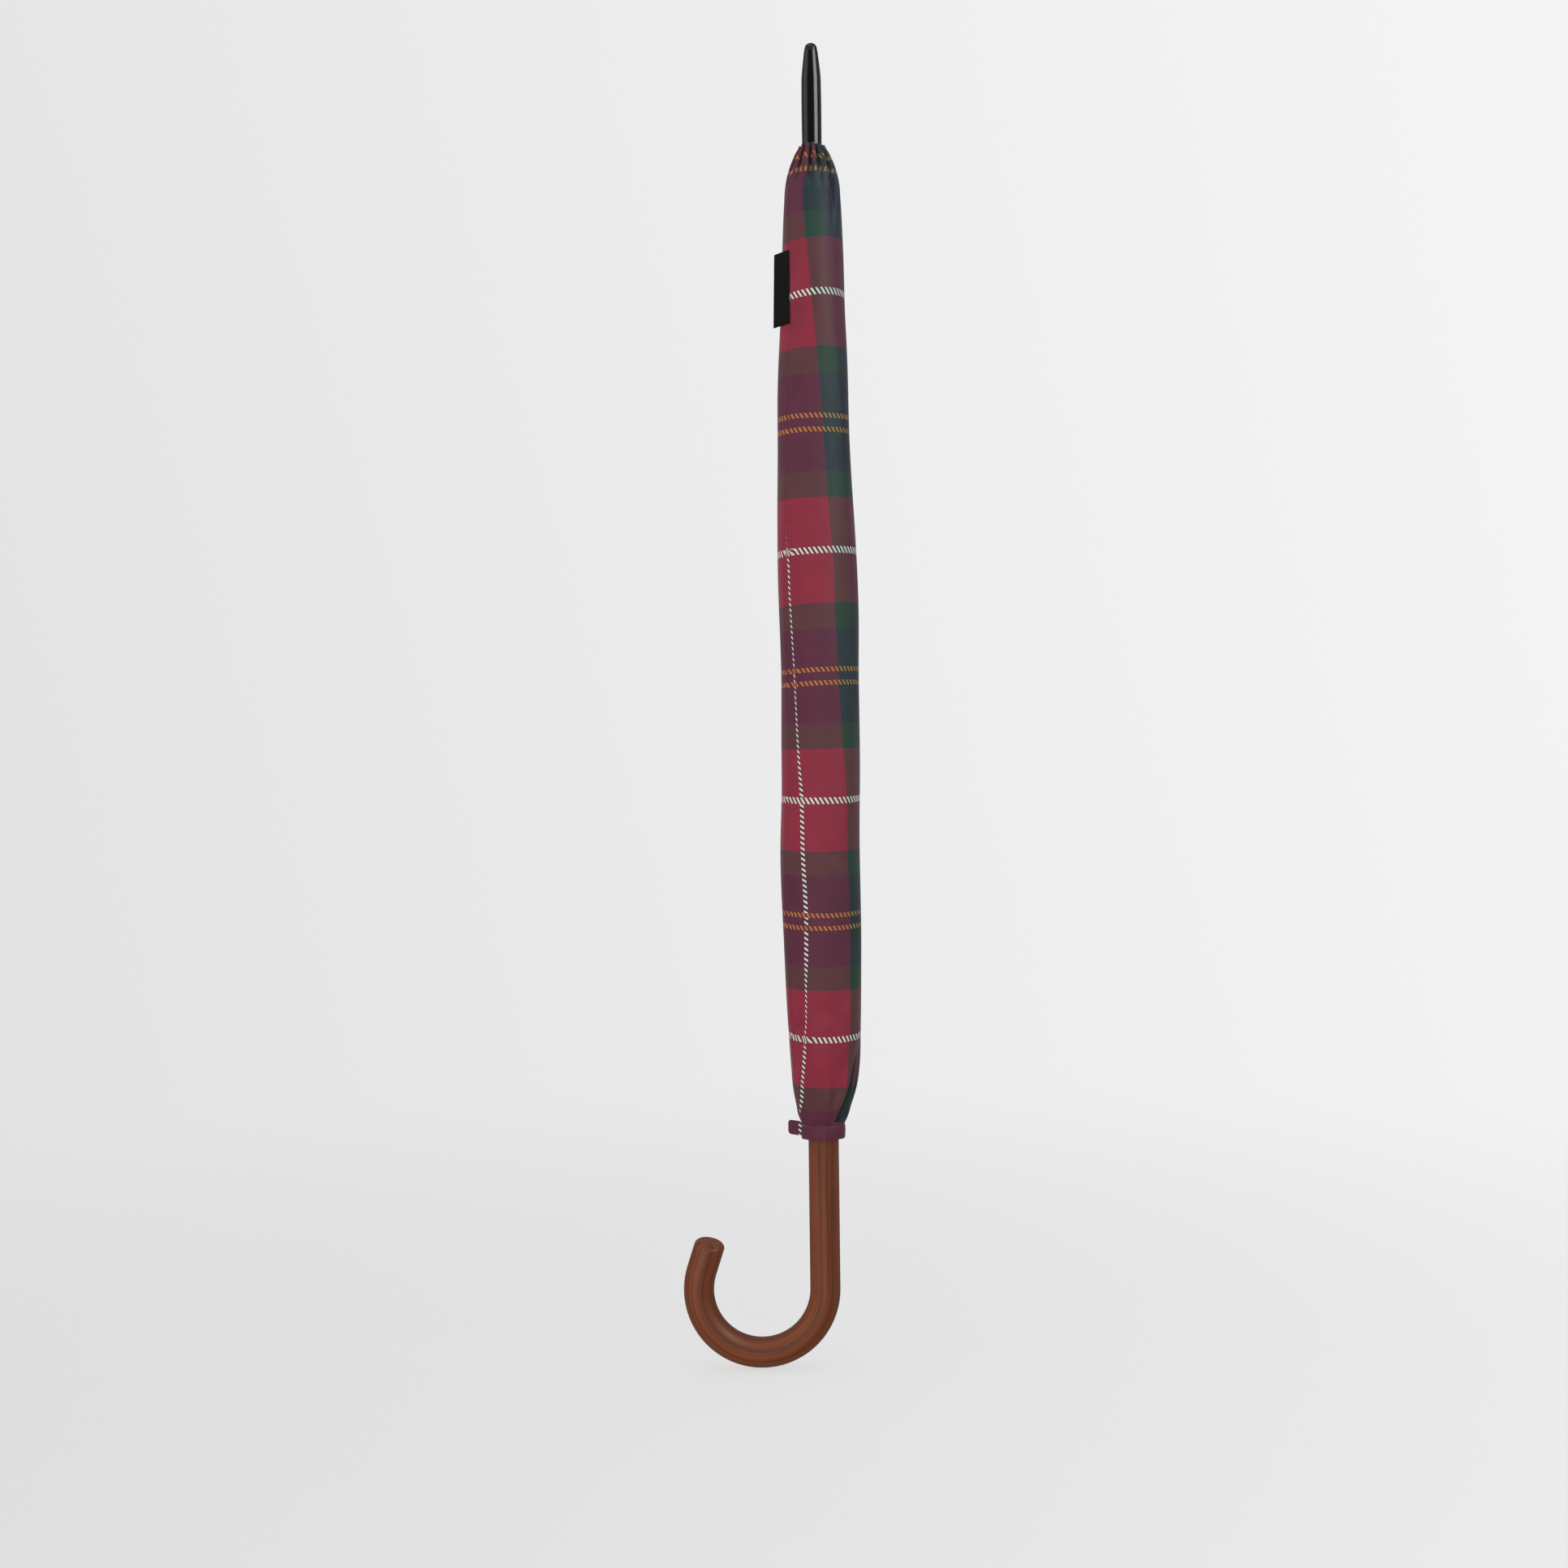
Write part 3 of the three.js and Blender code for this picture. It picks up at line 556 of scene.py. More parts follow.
def make_handle():
    cut = unit(np.array([math.sin(END_LEAN), -math.sin(END_TILT), math.cos(END_TILT)]))
    rings, uv = [], []
    turn = np.linspace(0, TURN, HANDLE_SIDES, endpoint=False)

    def ring(centre, direction, radius, plane, grain):
        side = np.cross([0, 1, 0], direction)
        flat = np.outer(np.cos(turn), side) + np.outer(np.sin(turn), [0, 1, 0])
        flat = flat * radius
        slide = (flat @ plane) / (direction @ plane)
        rings.append(centre + flat - np.outer(slide, direction))
        uv.append([(a * GRIP_RADIUS, grain) for a in np.linspace(0, TURN, HANDLE_SIDES + 1)])

    for along, total, centre, direction in crook_path():
        lean = smooth_step(total - END_TURN, total - END_ROUND, along)
        plane = direction * (1 - lean) + cut * lean
        if along <= total - END_ROUND:
            edge = 1 - GRIP_EDGE * smooth_step(GRIP_EDGE_DEPTH, 0, along)
            ring(centre, direction, GRIP_RADIUS * edge, unit(plane), along)
    end = centre - direction * END_ROUND
    for share in np.linspace(0.12, 1, 9):
        arc = share * math.pi / 2
        radius = GRIP_RADIUS - END_ROUND * (1 - math.cos(arc))
        ring(end + direction * END_ROUND * math.sin(arc), direction, radius, cut, total + share * MM)
    for share in (0.75, 0.5, 0.25, 0.02):
        dome = END_DOME * (1 - share)
        inner = (GRIP_RADIUS - END_ROUND) * share
        grain = total + (2 - share) * END_GRAIN
        ring(end + direction * (END_ROUND + dome), direction, inner, cut, grain)
    piece = grid_mesh("wood_handle", np.array(rings), np.array(uv), lacquered_wood(), around=True)
    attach(piece, "shaft")
    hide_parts("handle")


# ---- ferrule


# The ferrule's radius, as a share of its widest, at distances below its tip in mm.
FERRULE_NOSE = [
    (30, 1), (24, 0.985), (18, 0.91), (11, 0.79), (4.5, 0.66), (2.6, 0.59), (1, 0.42),
    (0.25, 0.2), (0, 0.01),
]
FERRULE_SIDES = 72


def make_ferrule():
    low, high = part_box("ferrule")
    radius, tip = high.x, high.z
    outline = [(low.z, 0.93 * radius), (low.z + 0.6 * MM, radius), (low.z + 4 * MM, radius)]
    outline += [(tip - below * MM, share * radius) for below, share in FERRULE_NOSE]
    body = np.linspace(low.z, tip - FERRULE_NOSE[0][0] * MM, 30)
    heights = np.concatenate([body, tip - np.linspace(29.5, 0, 70) * MM])
    turn = np.linspace(0, TURN, FERRULE_SIDES, endpoint=False)
    rings = [
        np.stack([r * np.cos(turn), r * np.sin(turn), np.full(FERRULE_SIDES, z)], 1)
        for z, r in zip(heights, eased(outline, heights))
    ]
    uv = [[(a / TURN, z) for a in np.linspace(0, TURN, FERRULE_SIDES + 1)] for z in heights]
    piece = grid_mesh("turned_ferrule", np.array(rings), np.array(uv), ferrule_black(), around=True)
    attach(piece, "shaft")
    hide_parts("ferrule")


# ---- carry sleeve

# The sleeve's outer radius at each height, in mm.
SLEEVE_OUTLINE = [
    (57.5, 14.0), (60.3, 15.5), (64, 16.9), (70, 18.3), (81, 21.0), (98, 23.3), (120, 24.7),
    (170, 26.0), (240, 27.0), (330, 26.4), (440, 26.9), (500, 25.2), (590, 22.8), (657, 20.4),
    (684, 19.3), (692, 18.7), (702, 16.3), (708, 14.1), (715, 11.0), (719, 9.1), (723, 8.0),
]
# How far the cloth lies off the shaft's axis to the right, in mm.
SLEEVE_DRIFT = [
    (57, 0), (95, 1.9), (130, 1.4), (190, 0.5), (245, -0.2), (290, 1.3), (335, 1.6), (390, 1.0),
    (430, 0), (723, 0),
]
# Where the white lengthwise line lies, in degrees right of the front.
WHITE_LINE = [
    (48, -84), (60, -75), (70, -59), (90, -45.5), (116, -33.5), (160, -27), (204, -24),
    (243, -26.5), (279, -30), (309, -36.5), (337, -41), (381, -44), (414, -44.5), (440, -45),
    (464, -49.5), (492, -54), (519, -59.5), (558, -68), (588, -77), (620, -89), (659, -105),
    (680, -114), (701, -124), (723, -132),
]
# How far the white line is pulled thin. From the label up it is lost in the seam.
LINE_PULL = [
    (48, 0.9), (72, 0.5), (82, 0), (108, 0), (119, 1.2), (148, 1.2), (165, 0.3), (295, 0.3),
    (320, 0.9), (425, 1.0), (440, 1.1), (447, 2), (453, 9), (459, 9), (723, 9),
]
LINE_PULL_REACH = 3.2 * MM
# How far the crossing lines lean (up on the right), and how far they sag in front, in mm.
LINE_LEAN = [
    (48, 0), (290, 0.2), (367, 1.1), (448, 1.3), (539, 0.4), (580, 1.0), (622, 2.1), (670, 1.2),
    (700, 0), (723, 0),
]
LINE_SAG = [(48, 1.4), (280, 1.8), (367, 0), (539, 0), (622, -1.3), (723, 0)]
# Where the seam lies, in degrees right of the front.
SEAM = [
    (48, -75), (200, -62), (447, -53), (500, -47), (590, -49), (600, -49), (650, -53), (701, -60),
    (723, -63),
]
SLEEVE_SIDES, HEM_SIDES = 180, 144
SLEEVE_CLOTH, HEM_CLOTH = 0.45 * MM, 1.1 * MM  # thickness

# The heights over which each of these sets in or fades.
SLACK_START, SLACK_FADE = (60, 90), (640, 690)  # loose cloth
MOUTH_START, MOUTH_FADE = (57, 66), (62, 104)  # waves over the hem
GATHER_START, GATHER_FADE = (686, 712), (717, 723)  # pleats of the gathered end
PULL_START = (700, 722)  # the pleats' uneven ends
PAINTED_PLEAT_SHADE_START = (694, 710)  # painted shade between the pleats
CORE_START = 690
CORE_SHARPNESS = 4  # how sharply the cloth bends onto its least radius
PLEAT_HEIGHT, PLEAT_PULL = 4.2, 2.4
SEAM_GROOVE, GROOVE_HALF = 0.9, 0.9  # depth and half-width
SEAM_RIDGE, RIDGE_AT, RIDGE_HALF = 0.45, 2.2, 1.6  # height, distance from the seam, half-width
# Slow waves of slack cloth: height, waves round, mm up a radian, phase.
RIPPLES = [(0.3, 3, 47, 0), (0.22, 5, -31, 1.3), (0.16, 2, 19, 0.4), (0.1, 8, 13, 2.1)]
PAINTED_PLEAT_SHADE_LEVEL, PAINTED_PLEAT_SHADE_SPAN = 0.4, 0.55  # where on a pleat the painted shade starts to darken it, and over what height
PAINTED_FOLD_SHADE_DEPTH, PAINTED_FOLD_SHADE_FREE = 3.2, 0.12  # the depth of the darkest painted fold shade, and the share that stays without painted shade
# Height of the first white line, its repeat, and how much shorter each next half-repeat is.
FIRST_LINE_Z, REPEAT, REPEAT_LOSS = 619.3, 176.9, 3.3
SAG_LEVEL = 0.6
BACK_START, BACK_SHIFT = (165, 290), 6 * MM
LEAST_RADIUS = 13

# The least radius of the gathered end, clear of the hub, the cap and the ferrule.
GATHER_CORE = [
    (690, 13.8), (707, 13.6), (709, 10.9), (713, 10.7), (716, 8.4), (719, 7.9), (723, 7.7),
]

# Soft dents and folds: degrees right of the front, height, half-length, half-width, tilt, depth.
FOLDS = [
    (12, 243, 13, 4, -35, -0.9), (18, 236, 12, 4, -30, 0.6),
    (-46, 128, 10, 5, 25, -1.0), (-38, 119, 12, 5, 20, 0.6),
    (0, 137, 16, 5, -28, -0.9), (14, 131, 18, 5, 35, 0.8),
    (30, 142, 16, 6, 60, -0.8), (40, 108, 18, 4, 65, -0.7),
    (-8, 104, 16, 5, 80, 0.6), (-20, 82, 14, 4, 78, -0.8),
    (6, 66, 12, 3.5, 60, -0.8), (22, 72, 14, 3.5, 55, 0.9),
    (50, 79, 22, 3.0, 78, -6.0), (76, 78, 20, 4, 84, -2.0),
    (36, 80, 20, 3.4, 76, 1.6), (72, 96, 20, 4, 80, -1.4),
    (-30, 402, 22, 6, 80, -0.4), (10, 470, 26, 6, 70, -0.4),
    (-28, 560, 22, 5, 75, -0.7), (-35, 535, 12, 5, 30, 0.6),
    (-20, 600, 26, 5, 82, -0.4), (-38, 642, 20, 6, 85, -1.0),
    (-34, 609, 10, 6, 20, -1.0), (-44, 598, 8, 5, 10, -1.1),
    (30, 640, 30, 5, 86, -0.5), (46, 692, 18, 1.9, 88, -2.4),
    (56, 694, 20, 2.2, 86, 1.2), (66, 684, 18, 3, 84, 0.9),
    (-12, 700, 10, 3, 70, -1.0), (140, 520, 30, 7, 75, -0.7),
    (170, 300, 26, 6, 60, -0.8), (200, 180, 24, 6, -60, -0.8),
    (150, 110, 22, 4, 80, -1.2), (215, 84, 20, 4, 75, -1.2),
    (120, 90, 20, 4, 82, -1.2),
]


def wrapped(angle):
    """The same direction, from -180 to 180 degrees."""
    return (angle + 180) % 360 - 180


def fold_depth(angle, z, radius):
    """How far the folds push the cloth out, in mm, at an angle in degrees and a height."""
    out = np.zeros_like(z)
    for at, height, length, width, tilt, depth in FOLDS:
        across = wrapped(angle - at) * math.pi / 180 * radius
        up = z - height
        lean = math.radians(tilt)
        run = across * math.cos(lean) + up * math.sin(lean)
        off = -across * math.sin(lean) + up * math.cos(lean)
        out += depth * np.exp(-((run / length) ** 2) - (off / width) ** 2)
    return out


def ripples(angle, z):
    a = np.radians(angle)
    return sum(size * np.sin(waves * a + z / rise + phase) for size, waves, rise, phase in RIPPLES)


def pleats(a):
    """The height of the gathered end's eleven uneven pleats, with fine ones on them."""
    fine = 0.12 * np.sin(21 * a)
    return np.abs(np.sin(5.5 * a + 0.9 + 0.6 * np.sin(2 * a))) ** 0.6 - 0.62 + fine


def painted_crease_shade(angle, z):
    """How deep in a crease the cloth lies, from 0 to 1, all the way round: the share of painted shade that darkens
    its colour.
    """
    hollow = (PAINTED_PLEAT_SHADE_LEVEL - pleats(np.radians(angle))) / PAINTED_PLEAT_SHADE_SPAN
    gathered = smooth_step(*PAINTED_PLEAT_SHADE_START, z) * np.clip(hollow, 0, 1)
    fold = fold_depth(angle, z, eased(SLEEVE_OUTLINE, z))
    folded = np.clip(-fold / PAINTED_FOLD_SHADE_DEPTH - PAINTED_FOLD_SHADE_FREE, 0, 1)
    return np.clip(gathered + folded, 0, 1)


def sleeve_surface(angle, z):
    """Points of the sleeve's outer face. The angle is in degrees right of the front, z in mm."""
    radius = eased(SLEEVE_OUTLINE, z)
    slack = smooth_step(*SLACK_START, z) * (1 - 0.7 * smooth_step(*SLACK_FADE, z))
    shape = radius + slack * ripples(angle, z) + fold_depth(angle, z, radius)
    a = np.radians(angle)
    mouth = (1 - smooth_step(*MOUTH_FADE, z)) * smooth_step(*MOUTH_START, z)
    shape = shape + mouth * (0.75 * np.sin(11 * a + 0.6) + 0.4 * np.sin(17 * a))
    gather = smooth_step(*GATHER_START, z) * (1 - 0.55 * smooth_step(*GATHER_FADE, z))
    pleat = pleats(a)
    shape = shape + gather * PLEAT_HEIGHT * pleat
    core = eased(GATHER_CORE, z)
    kept_out = core + np.logaddexp(0, CORE_SHARPNESS * (shape - core)) / CORE_SHARPNESS
    shape = np.where(z > CORE_START, kept_out, shape)
    arc = wrapped(angle - eased(SEAM, z)) * math.pi / 180 * radius
    shape = shape - SEAM_GROOVE * np.exp(-((arc / GROOVE_HALF) ** 2))
    shape = shape + SEAM_RIDGE * np.exp(-(((arc - RIDGE_AT) / RIDGE_HALF) ** 2))
    x = shape * np.sin(a) + eased(SLEEVE_DRIFT, z)
    y = -shape * np.cos(a)
    pull = PLEAT_PULL * gather * (pleat + 0.35 * np.sin(3 * a + 1.7))
    return np.stack([x, y, z + pull * smooth_step(*PULL_START, z)], -1) * MM


def cloth_along(z, angle=0.0):
    """The cloth's own length, in metres from a white crossing line, at a height in mm."""
    a = np.radians(angle)
    z = z - eased(LINE_LEAN, z) * np.sin(a) + eased(LINE_SAG, z) * (np.cos(a) - SAG_LEVEL)
    left = np.maximum(REPEAT**2 - 4 * REPEAT_LOSS * (FIRST_LINE_Z - z), 1)
    return (REPEAT - np.sqrt(left)) / (2 * REPEAT_LOSS) * WEFT_PITCH


def cloth_across(angle, z):
    """The cloth's own width, in metres from the white lengthwise line, which pulls thin in places."""
    radius = np.maximum(eased(SLEEVE_OUTLINE, z), LEAST_RADIUS) * MM
    across = np.radians(angle - eased(WHITE_LINE, z)) * radius
    from_seam = angle - eased(SEAM, z)
    other_side = WARP_PITCH - BACK_SHIFT - np.radians(360 - from_seam) * radius
    share = smooth_step(*BACK_START, from_seam)
    across = across * (1 - share) + other_side * share
    pull = np.maximum(eased(LINE_PULL, z), 0)
    return across * (1 + pull * np.exp(-((across / LINE_PULL_REACH) ** 2)))


def tube_grid(heights, sides):
    """The angle and height of each point of a tube of cloth. Its columns start and end at the seam."""
    z = np.repeat(np.array(heights, float)[:, None], sides + 1, axis=1)
    return eased(SEAM, z) + np.linspace(0, 360, sides + 1)[None, :], z


def cloth_tube(name, heights, sides, surface, material, spread=1.0):
    """A tube of checked cloth. Spread scales the check round the tube."""
    angle, z = tube_grid(heights, sides)
    uv = np.stack([cloth_across(angle, z) * spread, cloth_along(z, angle)], -1)
    return grid_mesh(name, surface(angle[:, :-1], z[:, :-1]), uv, material, around=True)


def bunches(piece, slot, *nodes):
    """Rides on the sleeve."""
    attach(piece, "sleeve")
    if nodes:
        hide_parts(*nodes)
    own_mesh(piece)


def make_sleeve():
    mouth = np.linspace(57.5, 100, 26, endpoint=False)
    middle = np.linspace(100, 680, 150, endpoint=False)
    heights = np.concatenate([mouth, middle, np.linspace(680, 723, 34)])
    sleeve = cloth_tube("tartan_sleeve", heights, SLEEVE_SIDES, sleeve_surface, tartan("sleeve_tartan"))
    angle, z = tube_grid(heights, SLEEVE_SIDES)
    # Painted shade for the creases, stored on the cloth for its material to darken by.
    depth = painted_crease_shade(angle[:, :-1], z[:, :-1])
    crease = sleeve.data.attributes.new(PAINTED_SHADE_ATTRIBUTE, "FLOAT", "POINT")
    crease.data.foreach_set("value", depth.astype(np.float32).ravel())
    solidify(sleeve, SLEEVE_CLOTH)
    bunches(sleeve, "sleeve_cloth", "carry_sleeve")
    return sleeve


HEM_ROW = 0.82  # height of the row of stitches, as a share of the hem's
HEM_ROW_DEPTH, HEM_ROW_HALF = 0.35, 0.06


def hem_surface(angle, z):
    """The turned hem: a flat band, a little thicker along its two edges."""
    low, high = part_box("sleeve_hem")
    share = (z * MM - low.z) / (high.z - low.z)
    bulge = 0.35 * np.sin(math.pi * np.clip(share, 0, 1)) + 0.12 * np.sin(3 * np.radians(angle))
    radius = high.x / MM - 0.25 + bulge
    radius = radius - HEM_ROW_DEPTH * np.exp(-(((share - HEM_ROW) / HEM_ROW_HALF) ** 2))
    a = np.radians(angle)
    droop = 0.35 * np.sin(2 * a + 0.5) + 0.2 * np.sin(5 * a)
    return np.stack([radius * np.sin(a), -radius * np.cos(a), z + droop], -1) * MM


def make_hem():
    low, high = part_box("sleeve_hem")
    heights = np.linspace(low.z / MM + 0.3, high.z / MM + 0.4, 22)
    hem = cloth_tube("stitched_hem", heights, HEM_SIDES, hem_surface, tartan("hem_tartan"), spread=0.7)
    solidify(hem, HEM_CLOTH)
    bunches(hem, "hem_cloth", "sleeve_hem")
    return hem


CORNER_STEPS = 6


def rounded_outline(width, height, corner):
    """Points round a rectangle with round corners, centred on the origin."""
    points = []
    for k, (sx, sy) in enumerate([(1, 1), (-1, 1), (-1, -1), (1, -1)]):
        for step in range(CORNER_STEPS + 1):
            a = (k + step / CORNER_STEPS) * math.pi / 2
            x = sx * (width / 2 - corner) + corner * math.cos(a)
            points.append((x, sy * (height / 2 - corner) + corner * math.sin(a)))
    return np.array(points)


# A plate's layers from back to front: shares of its outline and of half its thickness.
PLATE_LAYERS = [(0.01, -1.0), (0.2, -1.0), (0.6, -1.0), (0.9, -0.92), (0.98, -0.55), (1.0, 0)]
PLATE_LAYERS += [(0.98, 0.55), (0.9, 0.92), (0.6, 1.0), (0.2, 1.0), (0.01, 1.0)]


def pillow_plate(name, outline, thickness, place, material, uv_place=lambda x, up: (x, up)):
    """A thin plate with soft edges. place turns (across, up, out) into a point, and uv_place (across, up)
    into cloth coordinates."""
    rows, uv = [], []
    for share, out in PLATE_LAYERS:
        flat = outline * share
        rows.append([place(x, y, out * thickness / 2) for x, y in flat])
        uv.append([uv_place(x, y) for x, y in [*flat, flat[0]]])
    return grid_mesh(name, np.array(rows), np.array(uv), material, around=True)


TAB_EXTRA, TAB_CORNER = 2.4 * MM, 2.4 * MM
TAB_SHIFT = 1.2 * MM  # to the right of its CAD solid
TAB_FRONT = -1.0 * MM
TAB_BEND, TAB_BEND_START, TAB_BEND_REACH = 1.2 * MM, 6 * MM, 10 * MM
TAB_SLOPE = 0.17
TAB_CHECK = 2.9 * MM  # where on the check the tab was cut


def make_tab():
    low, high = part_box("sleeve_tab")
    middle = ((low.x + high.x) / 2, (low.z + high.z) / 2)
    outline = rounded_outline(high.x - low.x + TAB_EXTRA, high.z - low.z, TAB_CORNER)

    def place(x, up, out):
        bend = TAB_BEND * ((x - TAB_BEND_START) / TAB_BEND_REACH) ** 2
        return (middle[0] + TAB_SHIFT + x, TAB_FRONT + out - bend * 0.4, middle[1] + up - TAB_SLOPE * x)

    def uv_place(x, up):
        return (x - TAB_CHECK, cloth_along((middle[1] + up) / MM))

    tab = pillow_plate("hem_tab", outline, 1.9 * MM, place, tartan("tab_tartan", 1.05), uv_place)
    bunches(tab, "hem_cloth", "sleeve_tab")
    return tab


LABEL_WIDTH = 13.6 * MM
LABEL_STAND = 1.1 * MM  # off the sleeve at the seam
LABEL_HEADING = math.radians(43)  # how far the label runs back as it runs left
# How far its free end curls out, spreads at the foot, falls short and drops.
LABEL_CURL, LABEL_SPREAD, LABEL_SHORT, LABEL_DROP = 0.7 * MM, 1.4 * MM, 0.7 * MM, 1.6 * MM


def make_label():
    """The label lies along the sleeve's slope at the seam and stands off to the left."""
    low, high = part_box("sleeve_label")
    height = high.z - low.z
    outline = rounded_outline(LABEL_WIDTH, height, 0.5 * MM)
    along = np.array([-math.cos(LABEL_HEADING), math.sin(LABEL_HEADING), 0])
    out = np.array([-along[1], along[0], 0])

    def place(x, up, off):
        share = x / LABEL_WIDTH + 0.5
        z = (low.z + high.z) / 2 + up
        seam_z = z / MM
        root = sleeve_surface(eased(SEAM, seam_z) + 0.5, np.array(seam_z)) + out * LABEL_STAND
        curl = LABEL_CURL * share * share
        spread = LABEL_SPREAD * share * (0.5 - up / height) - LABEL_SHORT * share
        middle = root + along * (x + LABEL_WIDTH / 2 + spread) + out * (off + curl)
        return (middle[0], middle[1], z - LABEL_DROP * share)

    label = pillow_plate("blank_label", outline, 0.6 * MM, place, woven_label())
    bunches(label, "label_cloth", "sleeve_label")
    return label


STITCH_SIDES = 6
STITCH_RADIUS = 0.22  # in mm
STITCH_LIFT = 0.05 * MM
# Rings of a stitch: their place along it and their swell.
STITCH_RINGS = [(-0.5, 0.15), (-0.32, 0.9), (0, 1.0), (0.32, 0.9), (0.5, 0.15)]


def stitches(name, seats, length, material):
    """One small spindle of thread for each (place, direction, out) seat."""
    points, faces = [], []
    for place, direction, out in seats:
        side = np.cross(direction, out)
        first = len(points)
        last = first + (len(STITCH_RINGS) - 1) * STITCH_SIDES
        for share, swell in STITCH_RINGS:
            for k in range(STITCH_SIDES):
                a = k * TURN / STITCH_SIDES
                round_it = (side * math.cos(a) + out * (math.sin(a) * 0.8)) * STITCH_RADIUS * MM * swell
                points.append(place + direction * length * share + round_it)
        for a in range(first, last, STITCH_SIDES):
            b = a + STITCH_SIDES
            for k in range(STITCH_SIDES):
                n = (k + 1) % STITCH_SIDES
                faces.append((a + k, a + n, b + n, b + k))
        faces.append(tuple(first + k for k in reversed(range(STITCH_SIDES))))
        faces.append(tuple(last + k for k in range(STITCH_SIDES)))
    return add_mesh(name, [tuple(p) for p in points], faces, material)


def seats_on(surface, angles, heights, vertical):
    """Seats for stitches on a tube of cloth."""
    seats = []
    for angle, z in zip(angles, heights):
        here = surface(np.array(float(angle)), np.array(float(z)))
        beside = surface(np.array(angle + 1.0), np.array(float(z)))
        above = surface(np.array(float(angle)), np.array(z + 0.5))
        across, up = unit(beside - here), unit(above - here)
        out = unit(np.cross(across, up))
        seats.append((here + out * STITCH_LIFT, up if vertical else across, out))
    return seats


def make_stitching():
    low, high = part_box("sleeve_hem")
    row_z = low.z / MM + HEM_ROW * (high.z - low.z) / MM
    angles = np.arange(0, 360, 9.5)
    row = seats_on(hem_surface, angles, np.full(len(angles), row_z), False)
    heights = np.arange(low.z / MM + 1.2, high.z / MM - 0.6, 2.0)
    upright = seats_on(hem_surface, np.full(len(heights), 1.0), heights, True)
    purple = thread("hem_thread", from_srgb("7a4a66"))
    hem_row = stitches("hem_stitches", row + upright, 1.5 * MM, purple)
    heights = np.arange(66, 700, 3.4)
    seam = seats_on(sleeve_surface, eased(SEAM, heights) + 5.5, heights, True)
    seam_row = stitches("seam_stitches", seam, 2.2 * MM, thread("seam_thread", from_srgb("5a2c38")))
    for piece in (hem_row, seam_row):
        bunches(piece, "sleeve_cloth")
    return hem_row, seam_row


def make_carry_sleeve():
    """The sleeve, cut as one tapered piece and sewn into a tube, and what is sewn to it."""
    sleeve = make_sleeve()
    sewn_on = [make_hem(), make_tab(), make_label(), *make_stitching()]


# ---- canopy

RIB_COUNT = 8
SECTOR = TURN / RIB_COUNT
HINGE_RADIUS = 10.5 * MM
HINGE_Z = 702 * MM
RIB_SPLAY = 0.038
RIB_BOW = 0.05234  # per metre
RIB_HALF_DEPTH = 1.3 * MM
CANOPY_LENGTH = 611 * MM  # from the hinges to the hem, along a rib
OPEN_ANGLE = math.radians(38.7)  # between two ribs of the open umbrella
FOLDS_A_SIDE = 29
FOLD_POINTS = 3
FOLD_STACK = 2.6 * MM  # how far the folded layers build up
GORE_ROWS = 44
FIRST_ROW, ROW_EASE = 0.004, 0.9  # the rows lie closer together near the hub
MIDDLE_GAP = 0.002  # between the two halves' last folds, as a share of the gore
RIB_GAP = 0.45 * MM  # between the cloth and a rib
RIB_LIFT = 0.65  # in mm, how far the cloth rises beside a rib
FOLD_SWING = 3.38 * MM  # how far the folds run to each side of their middle
FOLD_SHIFT = 0.1 * MM


def rib_radius(z):
    down = HINGE_Z - z
    return HINGE_RADIUS + RIB_SPLAY * down - RIB_BOW * down * down


def gore_points(mid_azimuth):
    """The folded gore between two ribs, in rows from the hub to the hem, with its flat coordinates. Each
    half is a stack of accordion folds."""
    half = FOLDS_A_SIDE * FOLD_POINTS
    share = np.linspace(0, 0.5, half + 1)
    share = np.concatenate([share, 1 - share[::-1]])
    share[half] -= MIDDLE_GAP
    share[half + 1] += MIDDLE_GAP
    down = np.linspace(FIRST_ROW, 1, GORE_ROWS)[:, None] ** ROW_EASE
    bearing = (share - 0.5) * OPEN_ANGLE
    reach = CANOPY_LENGTH * math.cos(OPEN_ANGLE / 2) / np.cos(bearing)[None, :] * down
    z = HINGE_Z - reach
    side = np.sign(share - 0.5)[None, :]
    from_rib = np.minimum(share, 1 - share)[None, :] * 2
    fold = from_rib * FOLDS_A_SIDE
    wave = 2 * np.abs((fold / 2) % 1 - 0.5)  # 1 beside the rib, 0 beside the gore's middle
    base = rib_radius(z) + RIB_HALF_DEPTH + RIB_GAP
    lift = smooth_step(0, 0.03, from_rib) * RIB_LIFT * MM * np.minimum(1, 3 * down)
    stack = FOLD_STACK * np.minimum(1, 2.5 * down) * from_rib**0.9
    outward = base * math.cos(SECTOR / 2) + lift + stack
    edge = base * math.sin(SECTOR / 2)
    tangent = edge / 2 + FOLD_SHIFT + FOLD_SWING * down * (2 * wave - 1)
    start = 1 - smooth_step(0, 0.6 / FOLDS_A_SIDE, from_rib)
    tangent = side * (tangent * (1 - start) + edge * start)
    points = np.stack([outward, tangent + 0 * z, z + 0 * outward], -1)
    c, s = math.cos(mid_azimuth), math.sin(mid_azimuth)
    x = points[..., 0] * c - points[..., 1] * s
    y = points[..., 0] * s + points[..., 1] * c
    across = reach * np.sin(bearing) + WARP_PITCH / 2  # the yellow pair runs down the gore's middle
    uv = np.stack([across, reach * np.cos(bearing) + 0 * down], -1)
    return np.stack([x, y, points[..., 2]], -1), uv, share


def fold_weights(points, share, joint):
    """The share of the fold's turn that each point takes, so that the open gore is one even panel. Some
    lie a little below 0 or above 1."""
    axis = np.array(joint["axis"])
    pivot = np.array(joint["pos_m"])
    full = math.radians(joint["range_deg"][1])
    down = np.array([0, 0, -1.0])
    first = unit(down - axis * (down @ axis))
    second = np.cross(axis, first)
    off = points - pivot
    bearing = np.arctan2(off @ second, off @ first)
    start, end = bearing[:, :1], bearing[:, -1:] + full
    return (start + (end - start) * share[None, :] - bearing) / full


